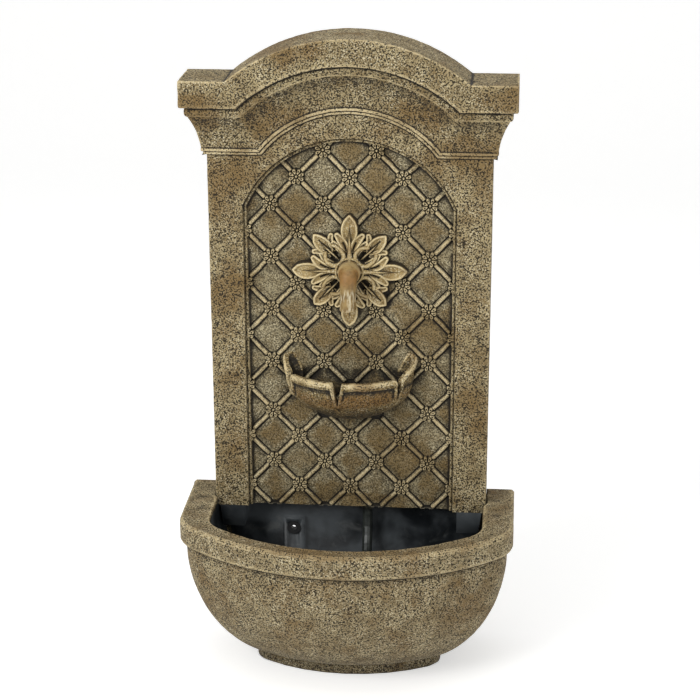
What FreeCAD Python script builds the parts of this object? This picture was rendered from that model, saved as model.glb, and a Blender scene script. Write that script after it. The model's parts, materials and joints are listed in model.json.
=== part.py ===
import FreeCAD, Part
import os
from math import acos, asin, atan2, cos, degrees, hypot, pi, sin, sqrt, tan

# Garden wall fountain: a cast panel with a crown moulding and a trellis field, a bow-front basin, a leaf
# rosette with a bent spout, a small spill bowl, and a submersible pump that feeds the spout by a tube.
# Millimetres. X is to the right, the front faces -Y, +Z is up, and the origin is under the middle of the
# foot. Places are given as (x, out, z), where out is the distance in front of the wall that it stands at.

# Panel
height = 787.0
panel_bottom = 193.0
pilaster_half = 169.0
pilaster_out = 46.5
field_out = 36.5
field_wall = 8.0
casting_wall = 9.0
crown_rise = 51.0
crown_half = 142.0

# Crown moulding, from its top edge down: heights and what each member stands out beyond the pilasters
fascia_height = 32.0
bead_height = 13.0
cove_height = 39.0
fillet_height = 8.0
fascia_projection = 28.0
bead_projection = 22.5
cove_projection = 18.0
fillet_projection = 6.0
member_ease = 1.0
fascia_ease = 0.5
cove_mid_out = 0.22
cove_mid_height = 0.45
bead_mid_height = 0.55
arch_steps = 6
cove_steps = 4
bead_steps = 2

# Arched recess and its stepped frame
recess_half = 128.5
recess_drop = 121.0
recess_radius = 140.0
frame_width = 4.8
frame_step = 5.0
recess_steps = 8

# Trellis
trellis_pitch_x = 63.6
trellis_pitch_z = 66.0
trellis_drop = 16.0
rib_width = 7.0
rib_top_width = 4.4
rib_height = 3.0
flower_radius = 9.2
flower_sides = 8
flower_height = 4.6

# Rosette
rosette_z = 503.0
leaf_length = 70.0
side_leaf_length = 62.0
leaf_height = 12.0
side_leaf_height = 9.0
rosette_seat_radius = 20.0
rosette_gap = 0.4
rosette_boss_radius = 17.0
rosette_boss_drop = 1.0
vein_width = 2.2
vein_groove = 1.6
vein_depth = 1.2
leaf_edge = 1.2
leaf_dip = 3.5
blade_steps = 4
leaf_count = 4
leaf_folds = 8
leaf_reach = 1.02
leaf_curl = 0.9
leaf_curl_height = 0.8
leaf_crest = 0.68
leaf_hollow = 0.34
vein_start = 0.26
vein_end = 0.8
# Blades of a leaf as shares of its length: its start and end along it, how far out it ends, half width
front_blades = ((0.0, 0.80, 0.0, 0.085), (0.62, 1.0, 0.0, 0.145), (0.38, 0.69, 0.24, 0.06),
                (0.14, 0.42, 0.32, 0.075))
side_blades = ((0.0, 0.80, 0.0, 0.085), (0.56, 1.0, 0.0, 0.16), (0.42, 0.74, 0.21, 0.055))

# Spout
spout_radius = 10.0
spout_bend_radius = 12.8
spout_bend_out = 58.0
knuckle_bands = 6
spout_flats = 20
spout_mouth_radius = 9.4
spout_mouth_z = 461.0
spout_mouth_out = 65.0
spout_bore_radius = 5.5
spout_thread_radius = 8.0
washer_thickness = 1.6
backnut_thickness = 5.0
backnut_across = 24.0
elbow_radius = 6.2
elbow_wall = 1.4
elbow_tail = 22.0
elbow_collar = 1.0
elbow_bore_radius = 3.8
nut_gap = 1.0

# Spill bowl
bowl_half = 78.0
bowl_projection = 57.0
bowl_front_radius = 95.0
bowl_corner_radius = 31.0
bowl_rim_z = 375.0
bowl_depth = 62.0
bowl_wall = 6.0
bowl_lip_height = 11.0
bowl_lip = 3.0
bowl_notch_width = 11.0
bowl_notch_depth = 26.0
bowl_notch_reach = 21.0
bowl_ear_height = 23.0
bowl_ear_half = 9.0
bowl_ear_out = 17.0
bowl_ear_front = 1.2
bowl_ear_corner = 0.7
bowl_lip_start = 0.985
bowl_notch_x = -8.6
bowl_side_notch_out = 24.0
bowl_side_notch_inset = 14.4
bowl_side_notch_turn = 62.0
# Rings of an ear: its size as a share, and its height as a share of the lip's and the ear's together
bowl_ear_rings = ((1.0, 0.0), (0.9, 0.63), (0.25, 1.0))
# Levels of the bowl's round, as shares of its depth
bowl_levels = (0.0, 0.35, 0.65, 0.87, 0.97)

# Basin
corner_steps = 5
bow_steps = 4
basin_half = 204.0
basin_depth = 216.0
basin_front_radius = 280.0
basin_corner_radius = 52.0
rim_z = 206.0
rim_side_width = 38.0
rim_front_width = 20.0
band_height = 34.0
band_stand = 7.0
band_chamfer = 6.0
rim_edge = 3.0
foot_half = 116.0
foot_depth = 119.0
foot_front_radius = 200.0
foot_corner_radius = 28.0
foot_height = 14.0
foot_step = 2.5
floor_thickness = 12.0
basin_back_wall = 7.5
floor_inset = 14.0
# Levels of the basin's outside and inside, as shares of their height, and how full the outside swells
basin_levels = (0.0, 0.05, 0.13, 0.25, 0.42, 0.65, 1.0)
water_levels = (0.0, 0.02, 0.1, 0.3, 1.0)
basin_swell = 0.75
shoulder_depth = 28.0
shoulder_inner = 133.0
seat_gap = 0.3
tongue_half = 117.0
tongue_height = 47.0

# Cord outlet in the basin's back wall
cord_x = -75.0
cord_z = 150.0
cord_bore_radius = 3.6
grommet_neck_radius = 6.0
grommet_flange_radius = 8.5
grommet_flange = 2.0
channel_half = 5.5
channel_depth = 6.0
channel_rib_half = 14.0
channel_rib = 6.0
channel_room = 0.5

# Hangers and fasteners
hanger_x = 110.0
hanger_drop = 81.0
hanger_plate_half_x = 15.0
hanger_plate_half_z = 22.0
hanger_plate_thickness = 2.0
hanger_entry_radius = 5.0
hanger_slot_radius = 2.5
hanger_slot_length = 9.0
hanger_pocket_depth = 9.0
hanger_boss_margin = 4.0
hanger_screw_z = 16.0
screw_radius = 1.9
screw_head_radius = 3.8
screw_head_height = 2.2
screw_flats = 8
hanger_screw_length = 14.0
joint_screw_x = 95.0
joint_screw_rise = 29.0
joint_screw_length = 20.0
joint_boss_radius = 8.0

# Tube
tube_radius = 6.35
tube_bore_radius = 4.75
tube_fit = 0.05
tube_bend_share = 0.45
tube_bend_steps = 4
tube_wall_gap = 0.5
tube_turn_z = 168.0
tube_pump_z = 122.0
clip_thickness = 1.6
clip_width = 10.0
clip_ear = 9.0
clip_fit = 0.25
clip_heights = (446.0, 270.0)
clip_screw_length = 8.0

# Pump
pump_x = 20.0
pump_out = 36.0
cup_height = 7.0
cup_radius = 7.5
cup_neck_radius = 2.5
cup_neck_length = 3.0
cup_shoulder = 0.6
cup_flats = 10
housing_length = 38.0
housing_half_out = 22.0
housing_half_height = 21.0
housing_corner = 5.0
housing_skin = 1.6
well_radius = 9.6
well_depth = 30.0
volute_length = 16.0
volute_radius = 19.0
volute_wall = 2.2
volute_flange = 3.0
chamber_gap = 1.0
eye_radius = 6.5
spigot_radius = 5.6
nozzle_collar_radius = 8.0
nozzle_thread_height = 3.0
nozzle_collar_height = 6.0
nozzle_length = 20.0
nozzle_bore_radius = 3.4
ring_radius = 17.0
ring_half_width = 1.2
ring_depth = 1.8
rotor_radius = 8.8
rotor_end_gap = 1.0
impeller_radius = 14.5
impeller_disc = 1.8
impeller_vane_height = 5.5
impeller_vane_thickness = 1.6
impeller_vanes = 6
shaft_radius = 1.25
shaft_fit = 0.05
shaft_end_gap = 0.4
hub_wall = 1.6
impeller_hub_wall = 2.0
vane_inset = 0.3
bush_radius = 4.2
bush_length = 4.0
bush_front_length = 3.0
spider_arm = 2.6
spider_arms = 3
core_length = 16.0
core_half_out = 18.0
core_bar = 8.0
core_bore = 1.6
coil_length = 24.0
coil_wall = 3.4
coil_half_out = 9.5
cover_length = 24.0
cover_wall = 2.0
cover_overlap = 9.0
cover_fit = 0.4
grille_slots = 5
grille_slot = 3.0
grille_margin = 4.0
grille_near = 10.0
grille_length = 8.0
sponge_gap = 0.6
dial_radius = 8.5
dial_flats = 20
dial_thickness = 3.0
dial_gap = 0.3
dial_grip_height = 3.0
dial_grip_half = 1.4
dial_stud_radius = 2.5
dial_fit = 0.06
window_out = 5.3
window_half_out = 1.7
window_half_height = 2.2
gland_plug_radius = 5.0
gland_plug_length = 3.0
gland_radius = 6.0
gland_length = 10.0
gland_bore_radius = 3.0
gland_bore_depth = 7.0

wall_y = basin_depth / 2
reach = 3 * basin_half
overlap = 1.0
join_tolerance = 0.0005
# Sides of the small rounds that seat in one another, such as the tube on its tails
round_flats = 12
field_back = field_out - field_wall
shoulder_z = height - crown_rise
crown_radius = (crown_half ** 2 + crown_rise ** 2) / (2 * crown_rise)
crown_centre_z = height - crown_radius
moulding_height = fascia_height + bead_height + cove_height + fillet_height
recess_crown = height - recess_drop
recess_centre_z = recess_crown - recess_radius
trellis_top = recess_crown - trellis_drop
hanger_z = shoulder_z - hanger_drop
tongue_top = panel_bottom + tongue_height
joint_screw_z = panel_bottom + joint_screw_rise
basin_floor = foot_height + floor_thickness
spout_tail_out = field_back - washer_thickness - backnut_thickness - nut_gap
tube_out = basin_back_wall + tube_radius + tube_wall_gap
tube_top_z = rosette_z - elbow_radius - elbow_wall - elbow_collar
pump_low_z = basin_floor + cup_height
pump_axis_z = pump_low_z + housing_half_height
volute_back_x = pump_x - volute_length / 2
volute_front_x = pump_x + volute_length / 2
housing_back_x = volute_back_x - housing_length
cover_end_x = volute_front_x - cover_overlap + cover_length
nozzle_seat_z = pump_axis_z + volute_radius + nozzle_thread_height
tube_end_z = nozzle_seat_z + nozzle_collar_height
core_middle_x = volute_back_x - well_depth / 2
core_low = pump_low_z + coil_wall + housing_skin
core_high = pump_axis_z + well_radius + core_bar / 2
impeller_back_x = volute_back_x + chamber_gap
shaft_back_x = volute_back_x - well_depth - bush_length


def at(x, out, z):
    """A point from its distance to the right, out from the wall, and up."""
    return FreeCAD.Vector(x, wall_y - out, z)


OUTWARD = FreeCAD.Vector(0, -1, 0)
INWARD = FreeCAD.Vector(0, 1, 0)
RIGHT = FreeCAD.Vector(1, 0, 0)
UP = FreeCAD.Vector(0, 0, 1)


def polygon(points):
    return Part.Face(Part.makePolygon(points + points[:1]))


def block(x0, x1, out0, out1, z0, z1):
    """A box between two places across, out and up."""
    return Part.makeBox(x1 - x0, out1 - out0, z1 - z0, at(x0, out1, z0))


def rod(start, axis, radius, length):
    return Part.makeCylinder(radius, length, start, axis)


def ring_of_flats(centre, axis, radius, flats):
    """The corners of a round drawn with flats, square to an axis."""
    side = UP if abs(axis.x) > 0.5 else RIGHT
    across = (side - axis * side.dot(axis)).normalize()
    up = axis.cross(across)
    turns = [2 * pi * i / flats for i in range(flats)]
    return [centre + across * (radius * cos(t)) + up * (radius * sin(t)) for t in turns]


def prism(start, axis, radius, length, flats):
    """A round bar or bore drawn with flats, for small pieces and the holes that they fit."""
    return polygon(ring_of_flats(start, axis, radius, flats)).extrude(axis * length)


def fuse(shapes):
    return shapes[0].multiFuse(shapes[1:]).removeSplitter()


def mirrored(shape):
    """The same shape on the other side of the fountain's middle plane."""
    return shape.mirror(FreeCAD.Vector(0, 0, 0), RIGHT)


def both_sides(shape):
    return Part.makeCompound([shape, mirrored(shape)])


def save(name, shape):
    shape.exportStep("parts/%s.step" % name)
    solids = shape.Solids
    print(name, len(solids), "solids", round(shape.Volume / 1000, 2), "cm3", shape.isValid())


# Crown moulding


def bent(start, through, end, steps):
    """Points along an arc, a steady number of flats apart."""
    return Part.Arc(start, through, end).discretize(steps + 1)


def moulding_corners(place, top, inset):
    """Corners of the moulding's section from the pilaster's face up to its top edge.

    place(out, level) gives a point, and top is the level of the moulding's top edge. The section that is
    moved in, for the hollow behind it, is one plain slope with a fascia.
    """
    face = pilaster_out - inset
    fascia_low = top - fascia_height
    bead_low = fascia_low - bead_height
    cove_low = bead_low - cove_height
    fillet_low = cove_low - fillet_height
    wall = place(face, fillet_low)
    bead_high = place(face + bead_projection - member_ease, fascia_low)
    fascia_high = place(face + fascia_projection, top)
    if inset:
        return [wall, bead_high, fascia_high]
    cove_out = face + fillet_projection + cove_mid_out * (cove_projection - fillet_projection)
    cove = bent(place(face + fillet_projection, cove_low),
                place(cove_out, cove_low + cove_mid_height * cove_height),
                place(face + cove_projection, bead_low), cove_steps)
    bead = bent(cove[-1], place(face + bead_projection, bead_low + bead_mid_height * bead_height),
                bead_high, bead_steps)
    fillet = place(face + fillet_projection - member_ease, fillet_low)
    fascia = place(face + fascia_projection - fascia_ease, fascia_low)
    return [wall, fillet] + cove + bead[1:] + [fascia, fascia_high]


def cutter_section(place, low, top, inset):
    """Corners round all that lies in front of the moulding and of the face below it."""
    far = pilaster_out + 2 * fascia_projection
    face = pilaster_out - inset
    return [place(face, low)] + moulding_corners(place, top, inset) + [place(far, top), place(far, low)]


def arch_place(centre_z, turn):
    """Gives the point at a distance out and a radius, on an arch's ray at an angle from upright."""
    return lambda out, radius: at(radius * sin(turn), out, centre_z + radius * cos(turn))


def moulded_block(inset):
    """The panel's outside with its moulding mitred round straight, arch and ends, moved in by inset."""
    back = -overlap if inset else 0.0
    low = panel_bottom - (overlap if inset else 0.0)
    front = pilaster_out + fascia_projection - inset
    half = pilaster_half + fascia_projection - inset
    contour_z = shoulder_z - inset
    radius = crown_radius - inset
    step = acos((contour_z - crown_centre_z) / radius) / arch_steps
    crown = [arch_place(crown_centre_z, -i * step)(back, radius) for i in range(-arch_steps, arch_steps + 1)]
    outline = [at(-half, back, low), at(half, back, low), at(half, back, contour_z)]
    shape = polygon(outline + crown + [at(-half, back, contour_z)]).extrude(OUTWARD * (front - back))

    cutter_low = panel_bottom - 2 * overlap
    straight = polygon(cutter_section(lambda out, z: at(-reach, out, z), cutter_low, shoulder_z, inset))
    shape = shape.cut(straight.extrude(RIGHT * 2 * reach), join_tolerance)
    arch_low = shoulder_z - moulding_height - crown_centre_z - overlap
    mitre_steps = arch_steps + arch_steps // 2
    arched = skin([cutter_section(arch_place(crown_centre_z, i * step), arch_low, crown_radius, inset)
                   for i in range(-mitre_steps, mitre_steps + 1)])
    shape = shape.cut(arched, join_tolerance)
    shift = pilaster_half - pilaster_out
    side = polygon(cutter_section(lambda out, z: at(out + shift, -reach, z), cutter_low, shoulder_z, inset))
    side_cutter = side.extrude(OUTWARD * 2 * reach)
    return shape.cut(side_cutter, join_tolerance).cut(mirrored(side_cutter), join_tolerance)


# Panel


def recess_prism(grow, out0, out1, low):
    """The arched recess from a height up, grown all round, between two distances from the wall."""
    half = recess_half + grow
    radius = recess_radius + grow
    step = asin(half / radius) / recess_steps
    arch = [arch_place(recess_centre_z, i * step)(out0, radius)
            for i in range(-recess_steps, recess_steps + 1)]
    return polygon([at(-half, out0, low)] + arch + [at(half, out0, low)]).extrude(OUTWARD * (out1 - out0))


def trellis_rib(column, slope):
    """One diagonal rib: column counts half pitches across, slope is +1 or -1."""
    low = panel_bottom - overlap
    high = recess_crown + overlap
    across = trellis_pitch_x / trellis_pitch_z
    start_x = column * trellis_pitch_x / 2 + slope * (trellis_top - low) * across
    end_x = column * trellis_pitch_x / 2 + slope * (trellis_top - high) * across
    run = at(end_x, 0, high) - at(start_x, 0, low)
    side = run.cross(OUTWARD).normalize()
    base = at(start_x, field_out - overlap, low)
    foot = base + side * (rib_width / 2)
    top = base + side * (rib_top_width / 2) + OUTWARD * (rib_height + overlap)
    other_top = base - side * (rib_top_width / 2) + OUTWARD * (rib_height + overlap)
    other_foot = base - side * (rib_width / 2)
    return polygon([foot, top, other_top, other_foot]).extrude(run)


def trellis_flower(x, z):
    """The boss of a small flower on a crossing."""
    corners = []
    for i in range(flower_sides):
        angle = 2 * pi * (i + 0.5) / flower_sides
        corners.append(at(x + flower_radius * cos(angle), field_out - overlap,
                          z + flower_radius * sin(angle)))
    return polygon(corners).extrude(OUTWARD * (flower_height + overlap))


def is_covered(x, z):
    """Whether the rosette or the spill bowl sits over this crossing."""
    under_rosette = hypot(x, z - rosette_z) < side_leaf_length
    bowl_low = bowl_rim_z - bowl_depth - flower_radius
    under_bowl = abs(x) < bowl_half + flower_radius and bowl_low < z < bowl_rim_z + bowl_ear_height
    return under_rosette or under_bowl


def trellis():
    rows = int((trellis_top - panel_bottom) / (trellis_pitch_z / 2)) + 1
    columns = int(recess_half / (trellis_pitch_x / 2)) + 1
    ribs = []
    for column in range(-rows - columns, columns + 2):
        if column % 2:
            ribs.append(trellis_rib(column, 1))
            ribs.append(trellis_rib(-column, -1))
    field_half = recess_half - frame_width - flower_radius
    flowers = []
    for row in range(rows):
        z = trellis_top - row * trellis_pitch_z / 2
        for column in range(-columns, columns + 1):
            x = column * trellis_pitch_x / 2
            if (row + column) % 2 and abs(x) < field_half and not is_covered(x, z):
                flowers.append(trellis_flower(x, z))
    field = recess_prism(-frame_width, field_out - overlap, pilaster_out, panel_bottom)
    relief = ribs[0].multiFuse(ribs[1:] + flowers).common(field)
    seat = prism(at(0, 0, rosette_z), OUTWARD, rosette_seat_radius + rosette_gap, pilaster_out,
                 spout_flats)
    return relief.cut(seat).cut(bowl_outside(rosette_gap))


def hanger_boss():
    half_x = hanger_plate_half_x + hanger_boss_margin
    half_z = hanger_plate_half_z + hanger_boss_margin
    boss = block(hanger_x - half_x, hanger_x + half_x, 0, pilaster_out, hanger_z - half_z, hanger_z + half_z)
    plate = block(hanger_x - hanger_plate_half_x, hanger_x + hanger_plate_half_x, -overlap,
                  hanger_plate_thickness, hanger_z - hanger_plate_half_z, hanger_z + hanger_plate_half_z)
    head = hanger_entry_radius + overlap
    pocket = block(hanger_x - head, hanger_x + head, 0, hanger_plate_thickness + hanger_pocket_depth,
                   hanger_z - head, hanger_z + hanger_slot_length + head)
    return boss.cut(plate).cut(pocket)


def screw(seat, axis, length):
    """A pan-head screw whose head sits on the point seat and whose shank runs along axis."""
    under = seat - axis * screw_head_height
    head = prism(under, axis, screw_head_radius, screw_head_height, screw_flats)
    return fuse([head, screw_hole(seat, axis, length)])


def screw_hole(seat, axis, length):
    return prism(seat, axis, screw_radius, length, screw_flats)


def hanger_screw_seats():
    return [at(hanger_x, 0, hanger_z - hanger_screw_z), at(hanger_x, 0, hanger_z + hanger_screw_z)]


def tube_x(z):
    """Where the tube's long straight run is at a height."""
    (x0, _, z0), (x1, _, z1) = tube_route[:2]
    return x0 + (x1 - x0) * (z - z0) / (z1 - z0)


def tube_lean():
    """How far the long straight run leans from upright across the panel, in degrees."""
    (x0, _, z0), (x1, _, z1) = tube_route[:2]
    return degrees(atan2(x1 - x0, z0 - z1))


def leaned(shape, z):
    """A shape turned with the tube about its centre at one height."""
    shape.rotate(at(tube_x(z), tube_out, z), OUTWARD, tube_lean())
    return shape


def clip_seat(z):
    """The seat of a clip's screw beside the tube, before it leans."""
    beside = tube_radius + clip_fit + clip_thickness + clip_ear / 2
    return at(tube_x(z) + beside, field_back - clip_thickness, z)


def wall_panel():
    outside = moulded_block(0.0)
    low = panel_bottom - 2 * overlap
    proud = pilaster_out + 2 * overlap
    recessed = outside.cut(recess_prism(0.0, pilaster_out - frame_step, proud, low))
    recessed = recessed.cut(recess_prism(-frame_width, field_out, proud, low))
    backing = recess_prism(casting_wall, field_back, reach, low)
    pilaster_foot = block(recess_half - frame_width, pilaster_half, -2 * overlap, reach, low,
                          panel_bottom + casting_wall)
    hollow = moulded_block(casting_wall).cut(backing).cut(pilaster_foot).cut(mirrored(pilaster_foot))
    boss = hanger_boss().common(outside)
    joint_boss = prism(at(joint_screw_x, basin_back_wall + seat_gap, joint_screw_z), OUTWARD,
                       joint_boss_radius, field_back + overlap - basin_back_wall - seat_gap, round_flats)
    shell = recessed.cut(hollow)
    shell = shell.multiFuse([boss, mirrored(boss), joint_boss, mirrored(joint_boss), trellis()])
    shell = shell.cut(prism(at(0, 0, rosette_z), OUTWARD, spout_thread_radius, pilaster_out,
                            spout_flats))
    for seat in hanger_screw_seats():
        hole = screw_hole(seat, OUTWARD, hanger_screw_length)
        shell = shell.cut(hole).cut(mirrored(hole))
    hole = screw_hole(at(joint_screw_x, 0, joint_screw_z), OUTWARD, joint_screw_length)
    shell = shell.cut(hole).cut(mirrored(hole))
    for z in clip_heights:
        shell = shell.cut(leaned(screw_hole(clip_seat(z), OUTWARD, clip_screw_length), z))
    return shell.removeSplitter()


# Bow-front outlines, which the basin, its foot and the spill bowl share


def bow_front(half, front, front_radius, corner_radius, back, z):
    """A closed outline: flat back, straight sides, round corners and a gently bowed front.

    The round stretches are short straight lines, a steady number for every outline, so that one outline
    meets the next flat by flat.
    """
    span = front_radius - corner_radius
    inner_half = half - corner_radius
    bow_centre = front - front_radius
    side_end = bow_centre + sqrt(span ** 2 - inner_half ** 2)
    turn = acos(inner_half / span)
    right_side = [at(half, back, z)]
    for i in range(corner_steps + 1):
        angle = turn * i / corner_steps
        right_side.append(at(inner_half + corner_radius * cos(angle),
                             side_end + corner_radius * sin(angle), z))
    for i in range(1, bow_steps):
        angle = turn + (pi / 2 - turn) * i / bow_steps
        right_side.append(at(front_radius * cos(angle), bow_centre + front_radius * sin(angle), z))
    left_side = [FreeCAD.Vector(-p.x, p.y, p.z) for p in reversed(right_side)]
    return right_side + [at(0, front, z)] + left_side


def skin(rings):
    """A closed solid of flats between outlines that have as many corners each."""
    faces = [polygon(rings[0]), polygon(rings[-1])]
    for ring, above in zip(rings, rings[1:]):
        for i in range(len(ring)):
            j = i - 1
            faces.append(polygon([ring[j], ring[i], above[i]]))
            faces.append(polygon([ring[j], above[i], above[j]]))
    return Part.makeSolid(Part.makeShell(faces))


# Basin


def basin_outline(half, front, back, z):
    """An outline between the foot's and the rim's, with radii that follow its half width."""
    share = (half - foot_half) / (basin_half - foot_half)
    front_radius = foot_front_radius + share * (basin_front_radius - foot_front_radius)
    corner_radius = foot_corner_radius + share * (basin_corner_radius - foot_corner_radius)
    return bow_front(half, front, front_radius, corner_radius, back, z)


def basin_body():
    """The bowl, from the foot up into the band, on a flattened quarter round."""
    low = foot_height
    high = rim_z - band_height
    half_low = foot_half + foot_step
    half_high = basin_half - band_stand
    front_low = foot_depth + foot_step
    front_high = basin_depth - band_stand
    rings = []
    for share in basin_levels:
        swell = (1 - (1 - share) ** 2) ** basin_swell
        half = half_low + (half_high - half_low) * swell
        front = front_low + (front_high - front_low) * swell
        rings.append(basin_outline(half, front, 0.0, low + share * (high - low)))
    return skin(rings)


def basin_band():
    """The raised band, chamfered below and eased at the rim."""
    low = rim_z - band_height
    levels = [
        (low - overlap, band_stand),
        (low + band_chamfer, 0.0),
        (rim_z - rim_edge, 0.0),
        (rim_z, rim_edge),
    ]
    return skin([basin_outline(basin_half - i, basin_depth - i, 0.0, z) for z, i in levels])


def basin_inside():
    """The water space: straight below the rim, rounding in to the floor."""
    half_high = basin_half - rim_side_width
    front_high = basin_depth - rim_front_width
    half_low = foot_half - floor_inset
    front_low = foot_depth - floor_inset
    rings = []
    for share in water_levels:
        swell = sqrt(1 - (1 - share) ** 2)
        half = half_low + (half_high - half_low) * swell
        front = front_low + (front_high - front_low) * swell
        rings.append(basin_outline(half, front, basin_back_wall,
                                   basin_floor + share * (rim_z + overlap - basin_floor)))
    return skin(rings)


def cord_places():
    """How far the grommet's wall reaches out from the wall, from the channel to the inside."""
    return channel_depth, basin_back_wall + channel_rib


def basin():
    foot = polygon(basin_outline(foot_half, foot_depth, 0.0, 0.0))
    shape = fuse([foot.extrude(UP * (foot_height + overlap)), basin_body(), basin_band()])
    shape = shape.cut(basin_inside())
    shoulder = block(shoulder_inner, basin_half - rim_side_width + 2 * overlap, basin_back_wall - overlap,
                     pilaster_out, panel_bottom - shoulder_depth, panel_bottom)
    tongue = block(-tongue_half, tongue_half, 0, basin_back_wall, panel_bottom - 2 * overlap, tongue_top)
    channel_rib_block = block(cord_x - channel_rib_half, cord_x + channel_rib_half, basin_back_wall - overlap,
                              basin_back_wall + channel_rib, foot_height, cord_z + channel_rib_half)
    shape = shape.multiFuse([shoulder, mirrored(shoulder), channel_rib_block])
    seat = block(-pilaster_half - seat_gap, pilaster_half + seat_gap, -overlap, pilaster_out + seat_gap,
                 panel_bottom, rim_z + overlap)
    shape = shape.cut(seat).fuse(tongue)
    channel = block(cord_x - channel_half, cord_x + channel_half, -overlap, channel_depth, -overlap, cord_z)
    channel_end = rod(at(cord_x, -overlap, cord_z), OUTWARD, grommet_flange_radius + channel_room,
                      channel_depth + overlap)
    grommet_start, grommet_end = cord_places()
    neck = prism(at(cord_x, grommet_start - overlap, cord_z), OUTWARD, grommet_neck_radius,
                 grommet_end - grommet_start + 2 * overlap, round_flats)
    shape = shape.cut(channel).cut(channel_end).cut(neck)
    behind = at(joint_screw_x, -overlap, joint_screw_z)
    screw_clearance = screw_hole(behind, OUTWARD, basin_back_wall + 2 * overlap)
    recess = prism(behind, OUTWARD, screw_head_radius + seat_gap, screw_head_height + seat_gap + overlap,
                   screw_flats)
    for cutter in (screw_clearance, recess):
        shape = shape.cut(cutter).cut(mirrored(cutter))
    return shape.removeSplitter()


def cord_grommet():
    start, end = cord_places()
    steps = [
        (start - grommet_flange, grommet_flange_radius, grommet_flange),
        (start, grommet_neck_radius, end - start),
        (end, grommet_flange_radius, grommet_flange),
    ]
    shape = fuse([prism(at(cord_x, out, cord_z), OUTWARD, radius, length, round_flats)
                  for out, radius, length in steps])
    return shape.cut(rod(at(cord_x, -overlap, cord_z), OUTWARD, cord_bore_radius, 2 * pilaster_out))


# Rosette and spout


def leaflet(start, end, half):
    """A pointed blade between two spots (along, across) on the panel's face, bulging by half each side."""
    run = (end[0] - start[0], end[1] - start[1])
    length = hypot(*run)

    def corner(share, side):
        bulge = side * half * (1 - (2 * share - 1) ** 2) / length
        return at(start[0] + share * run[0] - bulge * run[1], 0, start[1] + share * run[1] + bulge * run[0])

    shares = [i / blade_steps for i in range(blade_steps)]
    edge = [corner(share, 1) for share in shares]
    edge += [corner(1 - share, -1) for share in shares]
    return polygon(edge).extrude(OUTWARD * 2 * pilaster_out)


def leaf(length, blades):
    """One leaf pointing to the right: a stem, a spade-shaped end and pairs of side blades.

    blades are (start along, end along, end across, half width), as shares of the leaf's length.
    """
    parts = []
    for start, end, across, half in blades:
        for side in (1, -1):
            if across or side == 1:
                parts.append(leaflet((start * length, 0.0), (end * length, side * across * length),
                                     half * length))
    return fuse(parts)


def leaf_ring(length, crest):
    """The arching form that the leaves are cut from, folded along each leaf and curling down at the tips."""
    under = field_out + rib_height + rosette_gap
    levels = [
        (0.0, under),
        (leaf_reach * length, under),
        (leaf_reach * length, under + leaf_edge),
        (leaf_curl * length, field_out + leaf_curl_height * crest),
        (leaf_crest * length, field_out + crest),
        (leaf_hollow * length, field_out + crest - leaf_dip),
        (0.0, field_out + crest - leaf_dip),
    ]
    faces = []
    for i in range(leaf_folds):
        turns = (2 * pi * i / leaf_folds, 2 * pi * (i + 1) / leaf_folds)
        for (radius, out), (next_radius, next_out) in zip(levels, levels[1:]):
            corners = []
            for turn, r, o in ((turns[0], radius, out), (turns[1], radius, out),
                               (turns[1], next_radius, next_out), (turns[0], next_radius, next_out)):
                spot = at(r * cos(turn), o, r * sin(turn))
                if not corners or (spot - corners[-1]).Length > join_tolerance:
                    corners.append(spot)
            if (corners[0] - corners[-1]).Length < join_tolerance:
                corners.pop()
            faces.append(polygon(corners))
    return Part.makeSolid(Part.makeShell(faces))


def vein(length, crest):
    """The pair of tapering grooves that leave a midrib standing along one leaf."""
    low = field_out + crest - leaf_dip - vein_depth
    grooves = []
    for side in (1, -1):
        near = side * vein_width / 2
        far = side * (vein_width / 2 + vein_groove)
        groove = polygon([at(vein_start * length, low, near), at(vein_start * length, low, far),
                          at(vein_end * length, low, near)])
        grooves.append(groove.extrude(OUTWARD * pilaster_out))
    return Part.makeCompound(grooves)


def leaf_layer(length, crest, blades, first_turn):
    """The leaves of one layer, evenly turned."""
    one = leaf(length, blades).common(leaf_ring(length, crest)).cut(vein(length, crest))
    leaves = []
    for i in range(leaf_count):
        copy = one.copy()
        copy.rotate(at(0, 0, 0), OUTWARD, first_turn + 360 * i / leaf_count)
        leaves.append(copy)
    return leaves


def rosette():
    """Four acanthus leaves over four plainer ones, round the boss that the spout passes through."""
    front = leaf_layer(leaf_length, leaf_height, front_blades, 0)
    behind = leaf_layer(side_leaf_length, side_leaf_height, side_blades, 180 / leaf_count)
    boss = prism(at(0, field_out, 0), OUTWARD, rosette_boss_radius, leaf_height - rosette_boss_drop,
                 spout_flats)
    shape = fuse(front + behind + [boss])
    shape.translate(UP * rosette_z)
    return shape.cut(prism(at(0, 0, rosette_z), OUTWARD, spout_radius, 2 * pilaster_out, spout_flats))


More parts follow.
